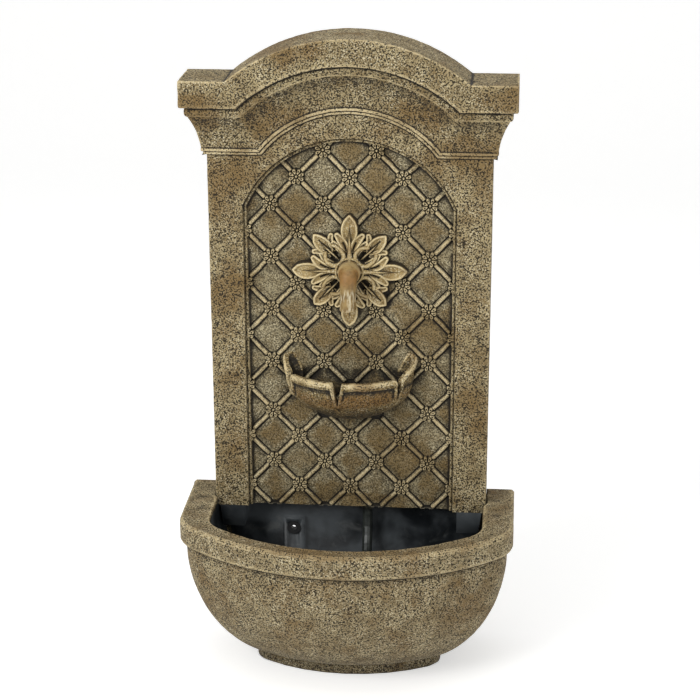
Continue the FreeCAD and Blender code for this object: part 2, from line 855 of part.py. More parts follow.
def spout():
    """A stub through the rosette, a round knuckle and a nozzle that leans out as it falls."""
    stub = prism(at(0, field_out, rosette_z), OUTWARD, spout_radius, spout_bend_out - field_out, spout_flats)
    thread = prism(at(0, spout_tail_out, rosette_z), OUTWARD, spout_thread_radius,
                   field_out - spout_tail_out, spout_flats)
    centre = at(0, spout_bend_out, rosette_z)
    fall = at(0, spout_mouth_out, spout_mouth_z) - centre
    axis = at(0, spout_mouth_out, spout_mouth_z) - centre
    axis.normalize()
    rings = []
    for i in range(knuckle_bands):
        turn = pi * (i + 0.5) / knuckle_bands - pi / 2
        rings.append(ring_of_flats(centre + axis * (spout_bend_radius * sin(turn)), axis,
                                   spout_bend_radius * cos(turn), spout_flats))
    knuckle = skin(rings)
    nozzle = prism(centre, axis, spout_mouth_radius, fall.Length, spout_flats)
    bore = prism(at(0, 0, rosette_z), OUTWARD, spout_bore_radius, spout_bend_out, round_flats)
    fall_bore = prism(centre, axis, spout_bore_radius, 2 * fall.Length, round_flats)
    return fuse([stub, thread, nozzle, knuckle]).cut(bore).cut(fall_bore)


def ring_piece(out, inner, outer, thickness):
    """A flat ring on the spout's axis."""
    disc = prism(at(0, out, rosette_z), OUTWARD, outer, thickness, spout_flats)
    return disc.cut(prism(at(0, out - overlap, rosette_z), OUTWARD, inner, thickness + 2 * overlap,
                          spout_flats))


def spout_backnut():
    corner = backnut_across / 2 / cos(pi / 6)
    out = field_back - washer_thickness - backnut_thickness
    points = [at(corner * cos(i * pi / 3), out, rosette_z + corner * sin(i * pi / 3)) for i in range(6)]
    nut = polygon(points).extrude(OUTWARD * backnut_thickness)
    return nut.cut(prism(at(0, 0, rosette_z), OUTWARD, spout_thread_radius, field_out, spout_flats))


def tail_elbow():
    """The elbow behind the spout, leaned to the tube, with a tail that the tube is pushed on to."""
    centre = at(0, tube_out, rosette_z)
    body = prism(at(0, tube_out - elbow_radius, rosette_z), OUTWARD, elbow_radius + elbow_wall,
                 spout_tail_out - tube_out + elbow_radius, round_flats)
    collar = prism(centre, UP * -1, elbow_radius, rosette_z - tube_top_z, round_flats)
    tail = prism(at(0, tube_out, tube_top_z), UP * -1, tube_bore_radius - tube_fit, elbow_tail, round_flats)
    bore = prism(centre, UP * -1, nozzle_bore_radius, rosette_z, round_flats)
    arm = fuse([collar, tail])
    for shape in (arm, bore):
        shape.rotate(at(0, tube_out, tube_top_z), OUTWARD, tube_lean())
    cross_bore = prism(centre, OUTWARD, elbow_bore_radius, field_out, round_flats)
    return fuse([body, arm]).cut(bore).cut(cross_bore)


# Spill bowl


def bowl_outline(share, grow, z):
    """The bowl's outline at a share of its full size, grown by a few millimetres."""
    half = bowl_half * share + grow
    front = field_out + bowl_projection * share + grow
    return bow_front(half, front, bowl_front_radius * share + grow, bowl_corner_radius * share + grow,
                     field_out - 2 * overlap, z)


def bowl_round(grow, rim_z_here, depth):
    rings = []
    for share in bowl_levels:
        rings.append(bowl_outline(sqrt(1 - share ** 2), grow, rim_z_here - share * depth))
    return skin(rings)


def bowl_outside(grow):
    """The whole bowl as one solid, with its lip and ears, for the seat that it needs in the trellis."""
    lip_low = bowl_rim_z - bowl_lip_height
    body = bowl_round(grow, bowl_rim_z, bowl_depth)
    lip = skin([
        bowl_outline(bowl_lip_start, 0.0, lip_low - bowl_lip),
        bowl_outline(1.0, bowl_lip + grow, lip_low + bowl_lip),
        bowl_outline(1.0, bowl_lip + grow, bowl_rim_z),
    ])
    ear_rise = bowl_lip_height + bowl_ear_height
    ear = skin([ear_outline(size, grow, lip_low + share * ear_rise) for size, share in bowl_ear_rings])
    return fuse([body, lip, ear, mirrored(ear)])


def ear_outline(share, grow, z):
    ring = bow_front(bowl_ear_half * share + grow, field_out + bowl_ear_out * share + grow,
                     bowl_ear_half * share * bowl_ear_front + grow,
                     bowl_ear_half * share * bowl_ear_corner + grow,
                     field_out - 2 * overlap, z)
    return [p + RIGHT * (bowl_half - bowl_ear_half + bowl_lip) for p in ring]


def bowl_notch(x, out, turn):
    """A V-shaped notch down from the rim, pointing outward at an angle from straight ahead."""
    half = bowl_notch_width / 2
    high = bowl_rim_z + bowl_ear_height
    slope = half / bowl_notch_depth
    half_high = half + slope * bowl_ear_height
    low = bowl_rim_z - bowl_notch_depth
    wedge = polygon([at(-half_high, 0, high), at(half_high, 0, high), at(0, 0, low)])
    wedge = wedge.extrude(OUTWARD * bowl_notch_reach)
    wedge.rotate(at(0, 0, 0), UP, turn)
    wedge.translate(at(x, out, 0) - at(0, 0, 0))
    return wedge


def spill_bowl():
    inside = bowl_round(-bowl_wall, bowl_rim_z + overlap, bowl_depth - bowl_wall)
    inside = inside.common(block(-reach, reach, field_out + bowl_wall, reach, 0, height))
    back_clear = block(-bowl_half + 2 * bowl_ear_half, bowl_half - 2 * bowl_ear_half, field_out - 3 * overlap,
                       reach, bowl_rim_z, bowl_rim_z + bowl_ear_height)
    shape = bowl_outside(0.0).cut(inside).cut(back_clear)
    behind = block(-reach, reach, 0, field_out, 0, height)
    shape = shape.cut(behind)
    front_notch_out = field_out + bowl_projection - 2 * bowl_wall
    shape = shape.cut(bowl_notch(bowl_notch_x, front_notch_out, 0.0))
    side_x = bowl_half - bowl_side_notch_inset
    side_out = field_out + bowl_side_notch_out
    for side in (1, -1):
        shape = shape.cut(bowl_notch(side * side_x, side_out, side * bowl_side_notch_turn))
    solids = sorted(shape.Solids, key=lambda s: s.Volume)
    return solids[-1]


# Hangers, clips and screws


def hanger_plate():
    plate = block(hanger_x - hanger_plate_half_x, hanger_x + hanger_plate_half_x, 0, hanger_plate_thickness,
                  hanger_z - hanger_plate_half_z, hanger_z + hanger_plate_half_z)
    entry = rod(at(hanger_x, -overlap, hanger_z), OUTWARD, hanger_entry_radius, reach)
    slot = block(hanger_x - hanger_slot_radius, hanger_x + hanger_slot_radius, -overlap, reach,
                 hanger_z, hanger_z + hanger_slot_length)
    slot_end = rod(at(hanger_x, -overlap, hanger_z + hanger_slot_length), OUTWARD, hanger_slot_radius, reach)
    plate = plate.cut(entry).cut(slot).cut(slot_end)
    for seat in hanger_screw_seats():
        plate = plate.cut(screw_hole(seat + INWARD * overlap, OUTWARD, hanger_screw_length))
        plate = plate.cut(sunk_head(seat))
    return plate


def sunk_head(seat):
    """A countersunk head that lies flush in a hanger plate."""
    under = seat + OUTWARD * hanger_plate_thickness
    return skin([ring_of_flats(seat, OUTWARD, screw_head_radius, screw_flats),
                 ring_of_flats(under, OUTWARD, screw_radius, screw_flats)])


def hanger_screws():
    screws = []
    for seat in hanger_screw_seats():
        shank = screw_hole(seat, OUTWARD, hanger_screw_length)
        screws.append(fuse([sunk_head(seat), shank]))
    return screws


def tube_clips():
    """One-hole clips: a strap over the tube, flat against the panel's back, with an ear on one side."""
    clips = []
    for z in clip_heights:
        x = tube_x(z)
        inner = tube_radius + clip_fit
        outer = inner + clip_thickness
        low, high = z - clip_width / 2, z + clip_width / 2
        strap = prism(at(x, tube_out, low), UP, outer, clip_width, round_flats)
        sides = block(x - outer, x + outer, tube_out, field_back, low, high)
        ear = block(x, x + outer + clip_ear, field_back - clip_thickness, field_back, low, high)
        room = block(x - inner, x + inner, tube_out, field_back + overlap, low - overlap, high + overlap)
        tube_room = prism(at(x, tube_out, low - overlap), UP, inner, clip_width + 2 * overlap, round_flats)
        hole = screw_hole(clip_seat(z), OUTWARD, clip_screw_length)
        clip = fuse([strap, sides, ear]).cut(tube_room).cut(room).cut(hole)
        clips.append(leaned(clip, z))
    return Part.makeCompound(clips)


# Tube


tube_route = [
    (0.0, tube_out, tube_top_z),
    (pump_x, tube_out, tube_turn_z),
    (pump_x, pump_out, tube_pump_z),
    (pump_x, pump_out, tube_end_z),
]


def tube_stations():
    """Places on the tube's middle line, each with its direction: straight runs joined by tangent bends.

    Each bend is as wide as its shorter run allows.
    """
    points = [at(*p) for p in tube_route]
    stations = [(points[0], (points[1] - points[0]).normalize())]
    for before, corner, after in zip(points, points[1:], points[2:]):
        arriving = (corner - before).normalize()
        leaving = (after - corner).normalize()
        turn = arriving.getAngle(leaving)
        setback = tube_bend_share * min((corner - before).Length, (after - corner).Length)
        bend = setback / tan(turn / 2)
        inward = (leaving - arriving).normalize()
        centre = corner + inward * (bend / cos(turn / 2))
        across = (corner - arriving * setback - centre).normalize()
        for i in range(tube_bend_steps + 1):
            angle = turn * i / tube_bend_steps
            place = centre + (across * cos(angle) + arriving * sin(angle)) * bend
            stations.append((place, arriving * cos(angle) - across * sin(angle)))
        print("tube bend radius", round(bend, 1))
    stations.append((points[-1], (points[-1] - points[-2]).normalize()))
    return stations


def water_tube():
    stations = tube_stations()
    outside, bore = [skin([ring_of_flats(place, axis, radius, round_flats) for place, axis in stations])
                     for radius in (tube_radius, tube_bore_radius)]
    length = sum((b[0] - a[0]).Length for a, b in zip(stations, stations[1:]))
    tube = outside.cut(bore)
    print("tube length", round(length, 1), "section", round(tube.Volume / length, 2))
    return tube


# Pump


def on_axis(x):
    return at(x, pump_out, pump_axis_z)


def axial(x0, x1, radius):
    """A round on the pump's axis between two places, drawn with flats."""
    return prism(on_axis(x0), RIGHT, radius, x1 - x0, round_flats)


def turned(x0, x1, radius):
    """A true cylinder on the pump's axis, for what turns and what it turns in."""
    return rod(on_axis(x0), RIGHT, radius, x1 - x0)


def pump_block(x0, x1):
    """A box of the pump's cross-section with chamfered edges, between two places along its axis."""
    shape = block(x0, x1, pump_out - housing_half_out, pump_out + housing_half_out,
                  pump_axis_z - housing_half_height, pump_axis_z + housing_half_height)
    long_edges = [e for e in shape.Edges if abs(e.tangentAt(e.FirstParameter).x) > 0.9]
    return shape.makeChamfer(housing_corner, long_edges)


def core_box(x0, x1, half_out, low, high):
    return block(x0, x1, pump_out - half_out, pump_out + half_out, low, high)


def stator_core():
    """A U of laminations: two legs beside the rotor's well, and a bar below for the coil."""
    x0 = core_middle_x - core_length / 2
    x1 = core_middle_x + core_length / 2
    core = core_box(x0, x1, core_half_out, core_low, core_high)
    gap = core_box(x0 - overlap, x1 + overlap, core_half_out - core_bar, core_low + core_bar,
                   core_high + overlap)
    bore = axial(x0 - overlap, x1 + overlap, well_radius + core_bore)
    return core.cut(gap.fuse(bore))


def stator_coil():
    """The winding round the core's lower bar."""
    x0 = core_middle_x - coil_length / 2
    x1 = core_middle_x + coil_length / 2
    coil = core_box(x0, x1, coil_half_out, core_low - coil_wall, core_low + core_bar + coil_wall)
    bar = core_box(core_middle_x - core_length / 2, core_middle_x + core_length / 2, core_half_out, core_low,
                   core_low + core_bar)
    return coil.cut(bar).cut(axial(x0 - overlap, x1 + overlap, well_radius + core_bore))


def pump_housing():
    shape = pump_block(housing_back_x, volute_back_x)
    shape = shape.cut(axial(volute_back_x - well_depth, volute_back_x + overlap, well_radius))
    shape = shape.cut(axial(volute_back_x - well_depth - bush_length, volute_back_x, bush_radius))
    shape = shape.cut(stator_core()).cut(stator_coil())
    groove = axial(volute_back_x - ring_depth, volute_back_x + overlap, ring_radius + ring_half_width)
    groove = groove.cut(axial(volute_back_x - 2 * ring_depth, volute_back_x + 2 * overlap,
                              ring_radius - ring_half_width))
    shape = shape.cut(groove)
    for x, out in cup_places():
        shape = shape.cut(cup_neck(x, out))
    return shape.cut(axial(housing_back_x - overlap, housing_back_x + gland_plug_length, gland_plug_radius))


def volute_o_ring():
    ring = axial(volute_back_x - ring_depth, volute_back_x, ring_radius + ring_half_width)
    return ring.cut(axial(volute_back_x - 2 * ring_depth, volute_back_x + overlap,
                          ring_radius - ring_half_width))


def front_bush():
    return axial(volute_front_x - bush_front_length, volute_front_x, shaft_radius + shaft_fit + hub_wall)


def volute_mouth():
    """The inlet eye with the front bush on its arms."""
    eye = axial(volute_front_x - volute_wall - overlap, volute_front_x + overlap, eye_radius)
    arms = []
    for i in range(spider_arms):
        arm = block(volute_front_x - bush_front_length, volute_front_x, pump_out - spider_arm / 2,
                    pump_out + spider_arm / 2, pump_axis_z, pump_axis_z + eye_radius + overlap)
        arm.rotate(on_axis(0), RIGHT, i * 360 / spider_arms)
        arms.append(arm)
    return eye.cut(fuse(arms + [front_bush()]))


def pump_volute():
    """The impeller chamber: a flange on the housing, a round chamber and the outlet's spigot."""
    flange = pump_block(volute_back_x, volute_back_x + volute_flange)
    body = axial(volute_back_x, volute_front_x, volute_radius)
    outlet = prism(on_axis(pump_x), UP, spigot_radius + volute_wall, nozzle_seat_z - pump_axis_z, round_flats)
    chamber = axial(volute_back_x - overlap, volute_front_x - volute_wall, volute_radius - volute_wall)
    outlet_bore = prism(on_axis(pump_x), UP, spigot_radius, 2 * volute_radius, round_flats)
    shape = fuse([flange, body, outlet]).cut(chamber).cut(outlet_bore).cut(volute_mouth())
    shape = shape.fuse(front_bush().cut(chamber))
    return shape.cut(turned(volute_front_x - bush_front_length - overlap, volute_front_x + overlap,
                            shaft_radius + shaft_fit)).removeSplitter()


def outlet_nozzle():
    """A screw-in nozzle on the volute, which the tube is pushed on to."""
    base = pump_axis_z + volute_radius - volute_wall
    steps = [
        (base, spigot_radius, nozzle_seat_z - base),
        (nozzle_seat_z, nozzle_collar_radius, nozzle_collar_height),
        (tube_end_z, tube_bore_radius - tube_fit, nozzle_length),
    ]
    shape = fuse([prism(at(pump_x, pump_out, z), UP, radius, length, round_flats)
                  for z, radius, length in steps])
    return shape.cut(prism(at(pump_x, pump_out, base - overlap), UP, nozzle_bore_radius, reach, round_flats))


def impeller():
    disc = axial(impeller_back_x, impeller_back_x + impeller_disc, impeller_radius)
    hub = axial(impeller_back_x, impeller_back_x + impeller_disc + impeller_vane_height,
                shaft_radius + impeller_hub_wall)
    vanes = []
    for i in range(impeller_vanes):
        vane = block(impeller_back_x + impeller_disc, impeller_back_x + impeller_disc + impeller_vane_height,
                     pump_out - impeller_vane_thickness / 2, pump_out + impeller_vane_thickness / 2,
                     pump_axis_z + shaft_radius, pump_axis_z + impeller_radius - vane_inset)
        vane.rotate(on_axis(0), RIGHT, i * 360 / impeller_vanes)
        vanes.append(vane)
    return fuse([disc, hub] + vanes).cut(turned(shaft_back_x, volute_front_x, shaft_radius))


def rotor_magnet():
    magnet = axial(volute_back_x - well_depth + rotor_end_gap, impeller_back_x, rotor_radius)
    return magnet.cut(turned(shaft_back_x, volute_front_x, shaft_radius))


def impeller_shaft():
    return turned(shaft_back_x + shaft_end_gap, volute_front_x - shaft_end_gap, shaft_radius)


def shaft_bush():
    bush = axial(shaft_back_x, shaft_back_x + bush_length, bush_radius)
    return bush.cut(turned(shaft_back_x - overlap, shaft_back_x + bush_length + overlap,
                           shaft_radius + shaft_fit))


def intake_cover():
    """A slotted cover that pushes on over the volute's round nose."""
    start = volute_front_x - cover_overlap
    room_end = cover_end_x - cover_wall
    shape = pump_block(start, cover_end_x)
    shape = shape.cut(axial(start - overlap, room_end, volute_radius + cover_fit))
    shape = shape.cut(block(start - overlap, volute_front_x, pump_out - nozzle_collar_radius - cover_fit,
                            pump_out + nozzle_collar_radius + cover_fit, pump_axis_z, reach))
    pitch = 2 * (housing_half_height - grille_margin) / grille_slots
    for i in range(grille_slots):
        z = pump_low_z + grille_margin + (i + 0.5) * pitch
        for near, far in ((-reach, pump_out - grille_near), (pump_out + grille_near, reach)):
            shape = shape.cut(block(room_end - grille_length, room_end, near, far,
                                    z - grille_slot / 2, z + grille_slot / 2))
    stud = turned(cover_end_x - overlap, cover_end_x + 2 * dial_gap + dial_thickness, dial_stud_radius)
    return shape.cut(dial_window(room_end - overlap, cover_end_x + overlap)).fuse(stud).removeSplitter()


def dial_window(x0, x1):
    """The opening that the cover and its dial share."""
    return block(x0, x1, pump_out + window_out - window_half_out, pump_out + window_out + window_half_out,
                 pump_axis_z - window_half_height, pump_axis_z + window_half_height)


def filter_sponge():
    start = volute_front_x + sponge_gap
    end = cover_end_x - cover_wall - sponge_gap
    return axial(start, end, volute_radius + cover_fit - sponge_gap)


def flow_dial():
    """A round shutter with a grip bar, turning on the cover's stud in front of its window."""
    start = cover_end_x + dial_gap
    end = start + dial_thickness
    disc = prism(on_axis(start), RIGHT, dial_radius, dial_thickness, dial_flats)
    grip = block(start, end + dial_grip_height, pump_out - dial_grip_half, pump_out + dial_grip_half,
                 pump_axis_z - dial_radius + dial_gap, pump_axis_z - dial_stud_radius - 2 * dial_gap)
    shape = fuse([disc, grip]).cut(dial_window(start - overlap, end + overlap))
    return shape.cut(turned(start - overlap, end + overlap, dial_stud_radius + dial_fit))


def cup_neck(x, out):
    """The neck that holds a cup in the housing, and the hole that it fills."""
    return prism(at(x, out, pump_low_z), UP, cup_neck_radius, cup_neck_length, cup_flats)


def cup_places():
    middle_x = (housing_back_x + volute_back_x) / 2
    half_x = housing_length / 2 - cup_radius
    half_out = housing_half_out - cup_radius
    return [(middle_x + i * half_x, pump_out + j * half_out) for i in (-1, 1) for j in (-1, 1)]


def suction_cups():
    cups = []
    for x, out in cup_places():
        cup = skin([ring_of_flats(at(x, out, basin_floor), UP, cup_radius, cup_flats),
                    ring_of_flats(at(x, out, pump_low_z), UP, cup_neck_radius + cup_shoulder, cup_flats)])
        cups.append(fuse([cup, cup_neck(x, out)]))
    return Part.makeCompound(cups)


def cable_gland():
    body = axial(housing_back_x - gland_length, housing_back_x, gland_radius)
    plug = axial(housing_back_x, housing_back_x + gland_plug_length, gland_plug_radius)
    bore_start = housing_back_x - gland_length
    return fuse([body, plug]).cut(axial(bore_start - overlap, bore_start + gland_bore_depth,
                                        gland_bore_radius))


def clip_screws():
    return Part.makeCompound([leaned(screw(clip_seat(z), OUTWARD, clip_screw_length), z)
                              for z in clip_heights])


def joint_screws():
    seat = at(joint_screw_x, screw_head_height + seat_gap, joint_screw_z)
    return both_sides(screw(seat, OUTWARD, joint_screw_length - screw_head_height - seat_gap))


def main():
    os.makedirs("parts", exist_ok=True)
    save("wall_panel", wall_panel())
    save("basin", basin())
    save("rosette", rosette())
    save("spout", spout())
    save("spout_washer", ring_piece(field_back - washer_thickness, spout_thread_radius, backnut_across / 2,
                                    washer_thickness))
    save("spout_backnut", spout_backnut())
    save("tail_elbow", tail_elbow())
    save("spill_bowl", spill_bowl())
    save("water_tube", water_tube())
    save("tube_clips", tube_clips())
    save("clip_screws", clip_screws())
    save("hanger_plates", both_sides(hanger_plate()))
    upper, lower = hanger_screws()
    save("hanger_screws", Part.makeCompound([upper, lower, mirrored(upper), mirrored(lower)]))
    save("joint_screws", joint_screws())
    save("cord_grommet", cord_grommet())
    save("pump_housing", pump_housing())
    save("stator_core", stator_core())
    save("stator_coil", stator_coil())
    save("pump_volute", pump_volute())
    save("volute_o_ring", volute_o_ring())
    save("outlet_nozzle", outlet_nozzle())
    save("impeller", impeller())
    save("rotor_magnet", rotor_magnet())
    save("impeller_shaft", impeller_shaft())
    save("shaft_bush", shaft_bush())
    save("intake_cover", intake_cover())
    save("filter_sponge", filter_sponge())
    save("flow_dial", flow_dial())
    save("suction_cups", suction_cups())
    save("cable_gland", cable_gland())


main()
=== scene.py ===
import json
from math import acos, atan2, cos, hypot, pi, radians, sin, sqrt

import bmesh
import bpy
import numpy as np
from mathutils import Matrix, Vector


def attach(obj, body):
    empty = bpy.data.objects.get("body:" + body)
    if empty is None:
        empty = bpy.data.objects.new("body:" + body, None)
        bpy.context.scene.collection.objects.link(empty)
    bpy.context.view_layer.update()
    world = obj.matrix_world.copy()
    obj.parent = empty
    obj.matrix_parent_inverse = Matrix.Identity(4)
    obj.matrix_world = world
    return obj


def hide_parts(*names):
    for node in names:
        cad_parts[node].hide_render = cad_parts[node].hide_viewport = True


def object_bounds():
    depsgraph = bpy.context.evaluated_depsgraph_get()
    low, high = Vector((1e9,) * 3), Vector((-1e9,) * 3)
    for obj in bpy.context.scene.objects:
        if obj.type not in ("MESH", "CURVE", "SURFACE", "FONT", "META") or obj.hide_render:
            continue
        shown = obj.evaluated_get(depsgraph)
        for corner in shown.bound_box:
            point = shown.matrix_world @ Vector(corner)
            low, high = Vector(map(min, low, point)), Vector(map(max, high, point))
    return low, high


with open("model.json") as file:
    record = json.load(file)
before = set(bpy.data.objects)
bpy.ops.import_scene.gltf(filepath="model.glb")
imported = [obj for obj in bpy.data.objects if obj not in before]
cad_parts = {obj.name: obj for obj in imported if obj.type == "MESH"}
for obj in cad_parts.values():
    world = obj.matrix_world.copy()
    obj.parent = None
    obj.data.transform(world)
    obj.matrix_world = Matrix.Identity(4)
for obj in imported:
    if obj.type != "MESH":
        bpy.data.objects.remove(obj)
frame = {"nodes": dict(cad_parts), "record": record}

# Garden wall fountain: the finish of every surface. Sizes are millimetres, and places are (x, out, z), where
# out is the distance in front of the wall. to_frame() turns them into the frame's metres.

cad_low, cad_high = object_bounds()
MM = 0.001
WALL_Y = cad_high.y
HEIGHT = cad_high.z / MM

# Panel
PANEL_BOTTOM = 193.0
PILASTER_HALF = 169.0
PILASTER_OUT = 46.5
FIELD_OUT = 36.5
FIELD_BACK = 28.5
SHOULDER_Z = 736.0
CROWN_HALF = 142.0
CROWN_RISE = HEIGHT - SHOULDER_Z
CROWN_RADIUS = (CROWN_HALF ** 2 + CROWN_RISE ** 2) / (2 * CROWN_RISE)
CROWN_CENTRE_Z = HEIGHT - CROWN_RADIUS
MOULDING_HEIGHT = 92.0
MOULDING_ROUND = 2.2
FILLET_STAND = 5.6
FILLET_TOP = 83.6
COVE_STAND = 18.0
COVE_TOP = 45.0
COVE_STEPS = 15
FASCIA_PROJECTION = 28.0
RECESS_HALF = 128.5
RECESS_RADIUS = 140.0
RECESS_CENTRE_Z = 526.0
FRAME_WIDTH = 4.8
FRAME_OUT = 41.5
BOSS_REACH = 132.0
BOSS_TOP = 690.0
PILASTER_ROUND = 2.0
UNDER_FILLET = 1.5
OUTLINE_COUNT = 150

# Trellis
PITCH_X = 63.6
PITCH_Z = 66.0
TRELLIS_TOP = 650.0
TRELLIS_ROWS = 14
TRELLIS_REACH = 4
FIELD_STEP = 0.8
TILE_RISE = 1.3
GROOVE_DEPTH = 1.3
RIB_HALF = 1.9
RIB_EDGE = RIB_HALF + 0.5
RIB_HEIGHT = 3.2
FLOWER_RADIUS = 9.3
FLOWER_HEIGHT = 4.6

# Rosette and spout
ROSETTE_Z = 503.0
LEAF_LENGTH = 70.0
SIDE_LEAF_LENGTH = 62.0
BALL_OUT = 53.0
SPOUT_BALL_RADIUS = 13.4
SPOUT_MOUTH = (66.0, 461.0)
LEAF_STEP = 0.42
LEAF_FLOOR = -1.5

# Spill bowl
BOWL_HALF = 78.0
BOWL_PROJECTION = 57.0
BOWL_BACK = FIELD_OUT - 1.0
BOWL_SIDE_OUT = 41.9
EAR_TURN = 5.6
EAR_INNER = 58.0
BOWL_FRONT_RADIUS = 95.0
BOWL_CORNER_RADIUS = 31.0
BOWL_RIM_Z = 375.0
BOWL_DEPTH = 62.0
BOWL_LOW_SHARE = 0.985
BOWL_WALL = 6.0
BOWL_LIP = 3.0
BOWL_EAR_HEIGHT = 23.0

# Basin
BASIN_HALF = 204.0
BASIN_DEPTH = 216.0
BASIN_FRONT_RADIUS = 280.0
BASIN_CORNER_RADIUS = 52.0
RIM_Z = 206.0
RIM_SIDE_WIDTH = 38.0
RIM_FRONT_WIDTH = 20.0
RIM_EDGE = 5.0
RIM_ROUND = 3.0
BAND_HEIGHT = 34.0
BAND_STAND = 7.0
FOOT_HALF = 116.0
FOOT_DEPTH = 119.0
FOOT_FRONT_RADIUS = 200.0
FOOT_CORNER_RADIUS = 28.0
FOOT_HEIGHT = 14.0
FOOT_STEP = 2.5
BASIN_FLOOR = 26.0
BACK_WALL = 7.5
FLOOR_INSET = 14.0
SHOULDER_INNER = 133.0
SHOULDER_LOW = 165.0
CHANNEL_REACH = 100.0
CHANNEL_STAND = 7.0

# Warm brown patches: middle (x, z), half sizes, and strength
STAINS = [
    (-149, 612, 26, 34, 0.9), (-152, 470, 24, 30, 0.8), (-149, 362, 22, 34, 0.75), (-146, 268, 22, 34, 0.8),
    (-178, 700, 26, 26, 0.9), (-77, 770, 40, 18, 0.7), (-96, 690, 34, 22, 0.8), (72, 700, 44, 20, 0.9),
    (150, 655, 30, 36, 0.8), (152, 470, 22, 40, 0.5), (151, 349, 22, 44, 0.8), (176, 716, 30, 14, 0.5),
    (-64, 577, 30, 26, 0.7), (105, 423, 34, 30, 0.7), (20, 560, 30, 20, 0.5), (0, 410, 34, 30, 0.5),
    (-60, 300, 40, 26, 0.5), (60, 250, 40, 26, 0.4), (-10, 350, 52, 9, 0.9), (30, 352, 40, 9, 0.9),
    (-150, 120, 34, 30, 0.6), (-30, 95, 50, 24, 0.35), (150, 110, 40, 30, 0.55), (60, 150, 60, 14, 0.4),
    (10, 205, 130, 5, 0.8),
]

# Helpers
TURN_COUNT = 96
MIRROR = np.array([-1, 1, 1])
spread = np.linspace


def to_frame(points):
    """Places in millimetres as (x, out, z), turned into the frame's metres."""
    return np.asarray(points, float) * (MM, -MM, MM) + (0, WALL_Y, 0)


def ease(share):
    """A smooth step from 0 to 1."""
    share = np.clip(share, 0.0, 1.0)
    return share * share * (3 - 2 * share)


def unevenness(points, size, seed):
    """Smooth noise between -1 and 1 at places (any shape, 3), with features of about a size."""
    cells = 32
    lattice = np.random.default_rng(seed).uniform(-1, 1, (cells, cells, cells))
    scaled = np.asarray(points, float) / size
    cell = np.floor(scaled).astype(int)
    share = ease(scaled - cell)
    total = 0.0
    for corner in np.ndindex(2, 2, 2):
        weight = 1.0
        for axis, step in enumerate(corner):
            weight = weight * (share[..., axis] if step else 1 - share[..., axis])
        i, j, k = np.moveaxis((cell + corner) % cells, -1, 0)
        total = total + weight * lattice[i, j, k]
    return total


def flat_noise(x, z, size, seed):
    """The same over a plane."""
    return unevenness(np.stack([x, np.zeros_like(x), z], axis=-1), size, seed)


def full_turn():
    """Angles all the way round, without the last one, which would meet the first."""
    return spread(0, 2 * pi, TURN_COUNT + 1)[:-1]


def lengths_along(line):
    """How long a line is up to each of its points."""
    return np.concatenate([[0], np.cumsum(np.linalg.norm(np.diff(line, axis=0), axis=1))])


class Surface:
    """Collects grids of points into one mesh.

    Each point has a tone, from -1 for a dark washed finish and painted shade to 1 for a pale worn finish and
    painted highlight.
    """

    def __init__(self):
        self.points = []
        self.tones = []
        self.faces = []
        self.odd_faces = []
        self.count = 0

    def grid(self, points, facing=None, away=None, around=False, tone=0.0):
        """Adds a grid of places (rows, columns, 3) that faces a direction, or away from a place."""
        points = np.asarray(points, float)
        rows, columns = points.shape[:2]
        index = np.arange(rows * columns).reshape(rows, columns) + self.count
        if around:
            index = np.concatenate([index, index[:, :1]], axis=1)
        quads = np.stack([index[:-1, :-1], index[1:, :-1], index[1:, 1:], index[:-1, 1:]], axis=-1)
        places = to_frame(points)
        row, column = max(rows // 2 - 1, 0), max(columns // 2 - 1, 0)
        first = places[row, column]
        normal = np.cross(places[rows // 2, column] - first, places[row, columns // 2] - first)
        if away is not None:
            want = first - to_frame(away)
        else:
            want = np.array([facing[0], -facing[1], facing[2]], float)
        if np.dot(normal, want) < 0:
            quads = quads[..., ::-1]
        self.add(places.reshape(-1, 3), quads.reshape(-1, 4), np.broadcast_to(tone, points.shape[:2]).ravel())

    def add(self, places, quads, tones):
        """Adds places that are already in the frame's metres, with faces that count from the next point."""
        self.points.append(places)
        self.tones.append(tones)
        self.faces.append(quads)
        self.count += len(places)

    def mesh_part(self, mesh, keep):
        """Adds the faces of a frame mesh whose middle and direction, as (x, out, z), are to be kept."""
        for face in mesh.polygons:
            middle = np.array([face.center[0], WALL_Y - face.center[1], face.center[2]]) / MM
            normal = (face.normal[0], -face.normal[1], face.normal[2])
            if keep(middle, normal):
                corners = np.array([mesh.vertices[i].co[:] for i in face.vertices])
                self.points.append(corners)
                self.tones.append(np.zeros(len(corners)))
                self.odd_faces.append(list(range(self.count, self.count + len(corners))))
                self.count += len(corners)

    def make(self, name, body="root", weld=0.00002, rough=0.25, rough_size=9.0):
        """Makes the object, welds the grids' shared edges and rides it on a body."""
        points = np.concatenate(self.points)
        faces = np.concatenate(self.faces).tolist() if self.faces else []
        mesh = bpy.data.meshes.new(name)
        mesh.from_pydata(points.tolist(), [], faces + self.odd_faces)
        tone = mesh.attributes.new("tone", "FLOAT", "POINT")
        tone.data.foreach_set("value", np.concatenate(self.tones).astype(np.float32))
        work = bmesh.new()
        work.from_mesh(mesh)
        bmesh.ops.remove_doubles(work, verts=work.verts, dist=weld)
        bmesh.ops.dissolve_degenerate(work, edges=work.edges, dist=weld)
        work.to_mesh(mesh)
        work.free()
        mesh.shade_smooth()
        if rough:
            roughen(mesh, rough, rough_size)
        piece = bpy.data.objects.new(name, mesh)
        bpy.context.scene.collection.objects.link(piece)
        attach(piece, body)
        return piece


def places_of(mesh):
    """The mesh's points and their directions, as arrays."""
    found = []
    for name in ("co", "normal"):
        values = np.empty(len(mesh.vertices) * 3)
        mesh.vertices.foreach_get(name, values)
        found.append(values.reshape(-1, 3))
    return found


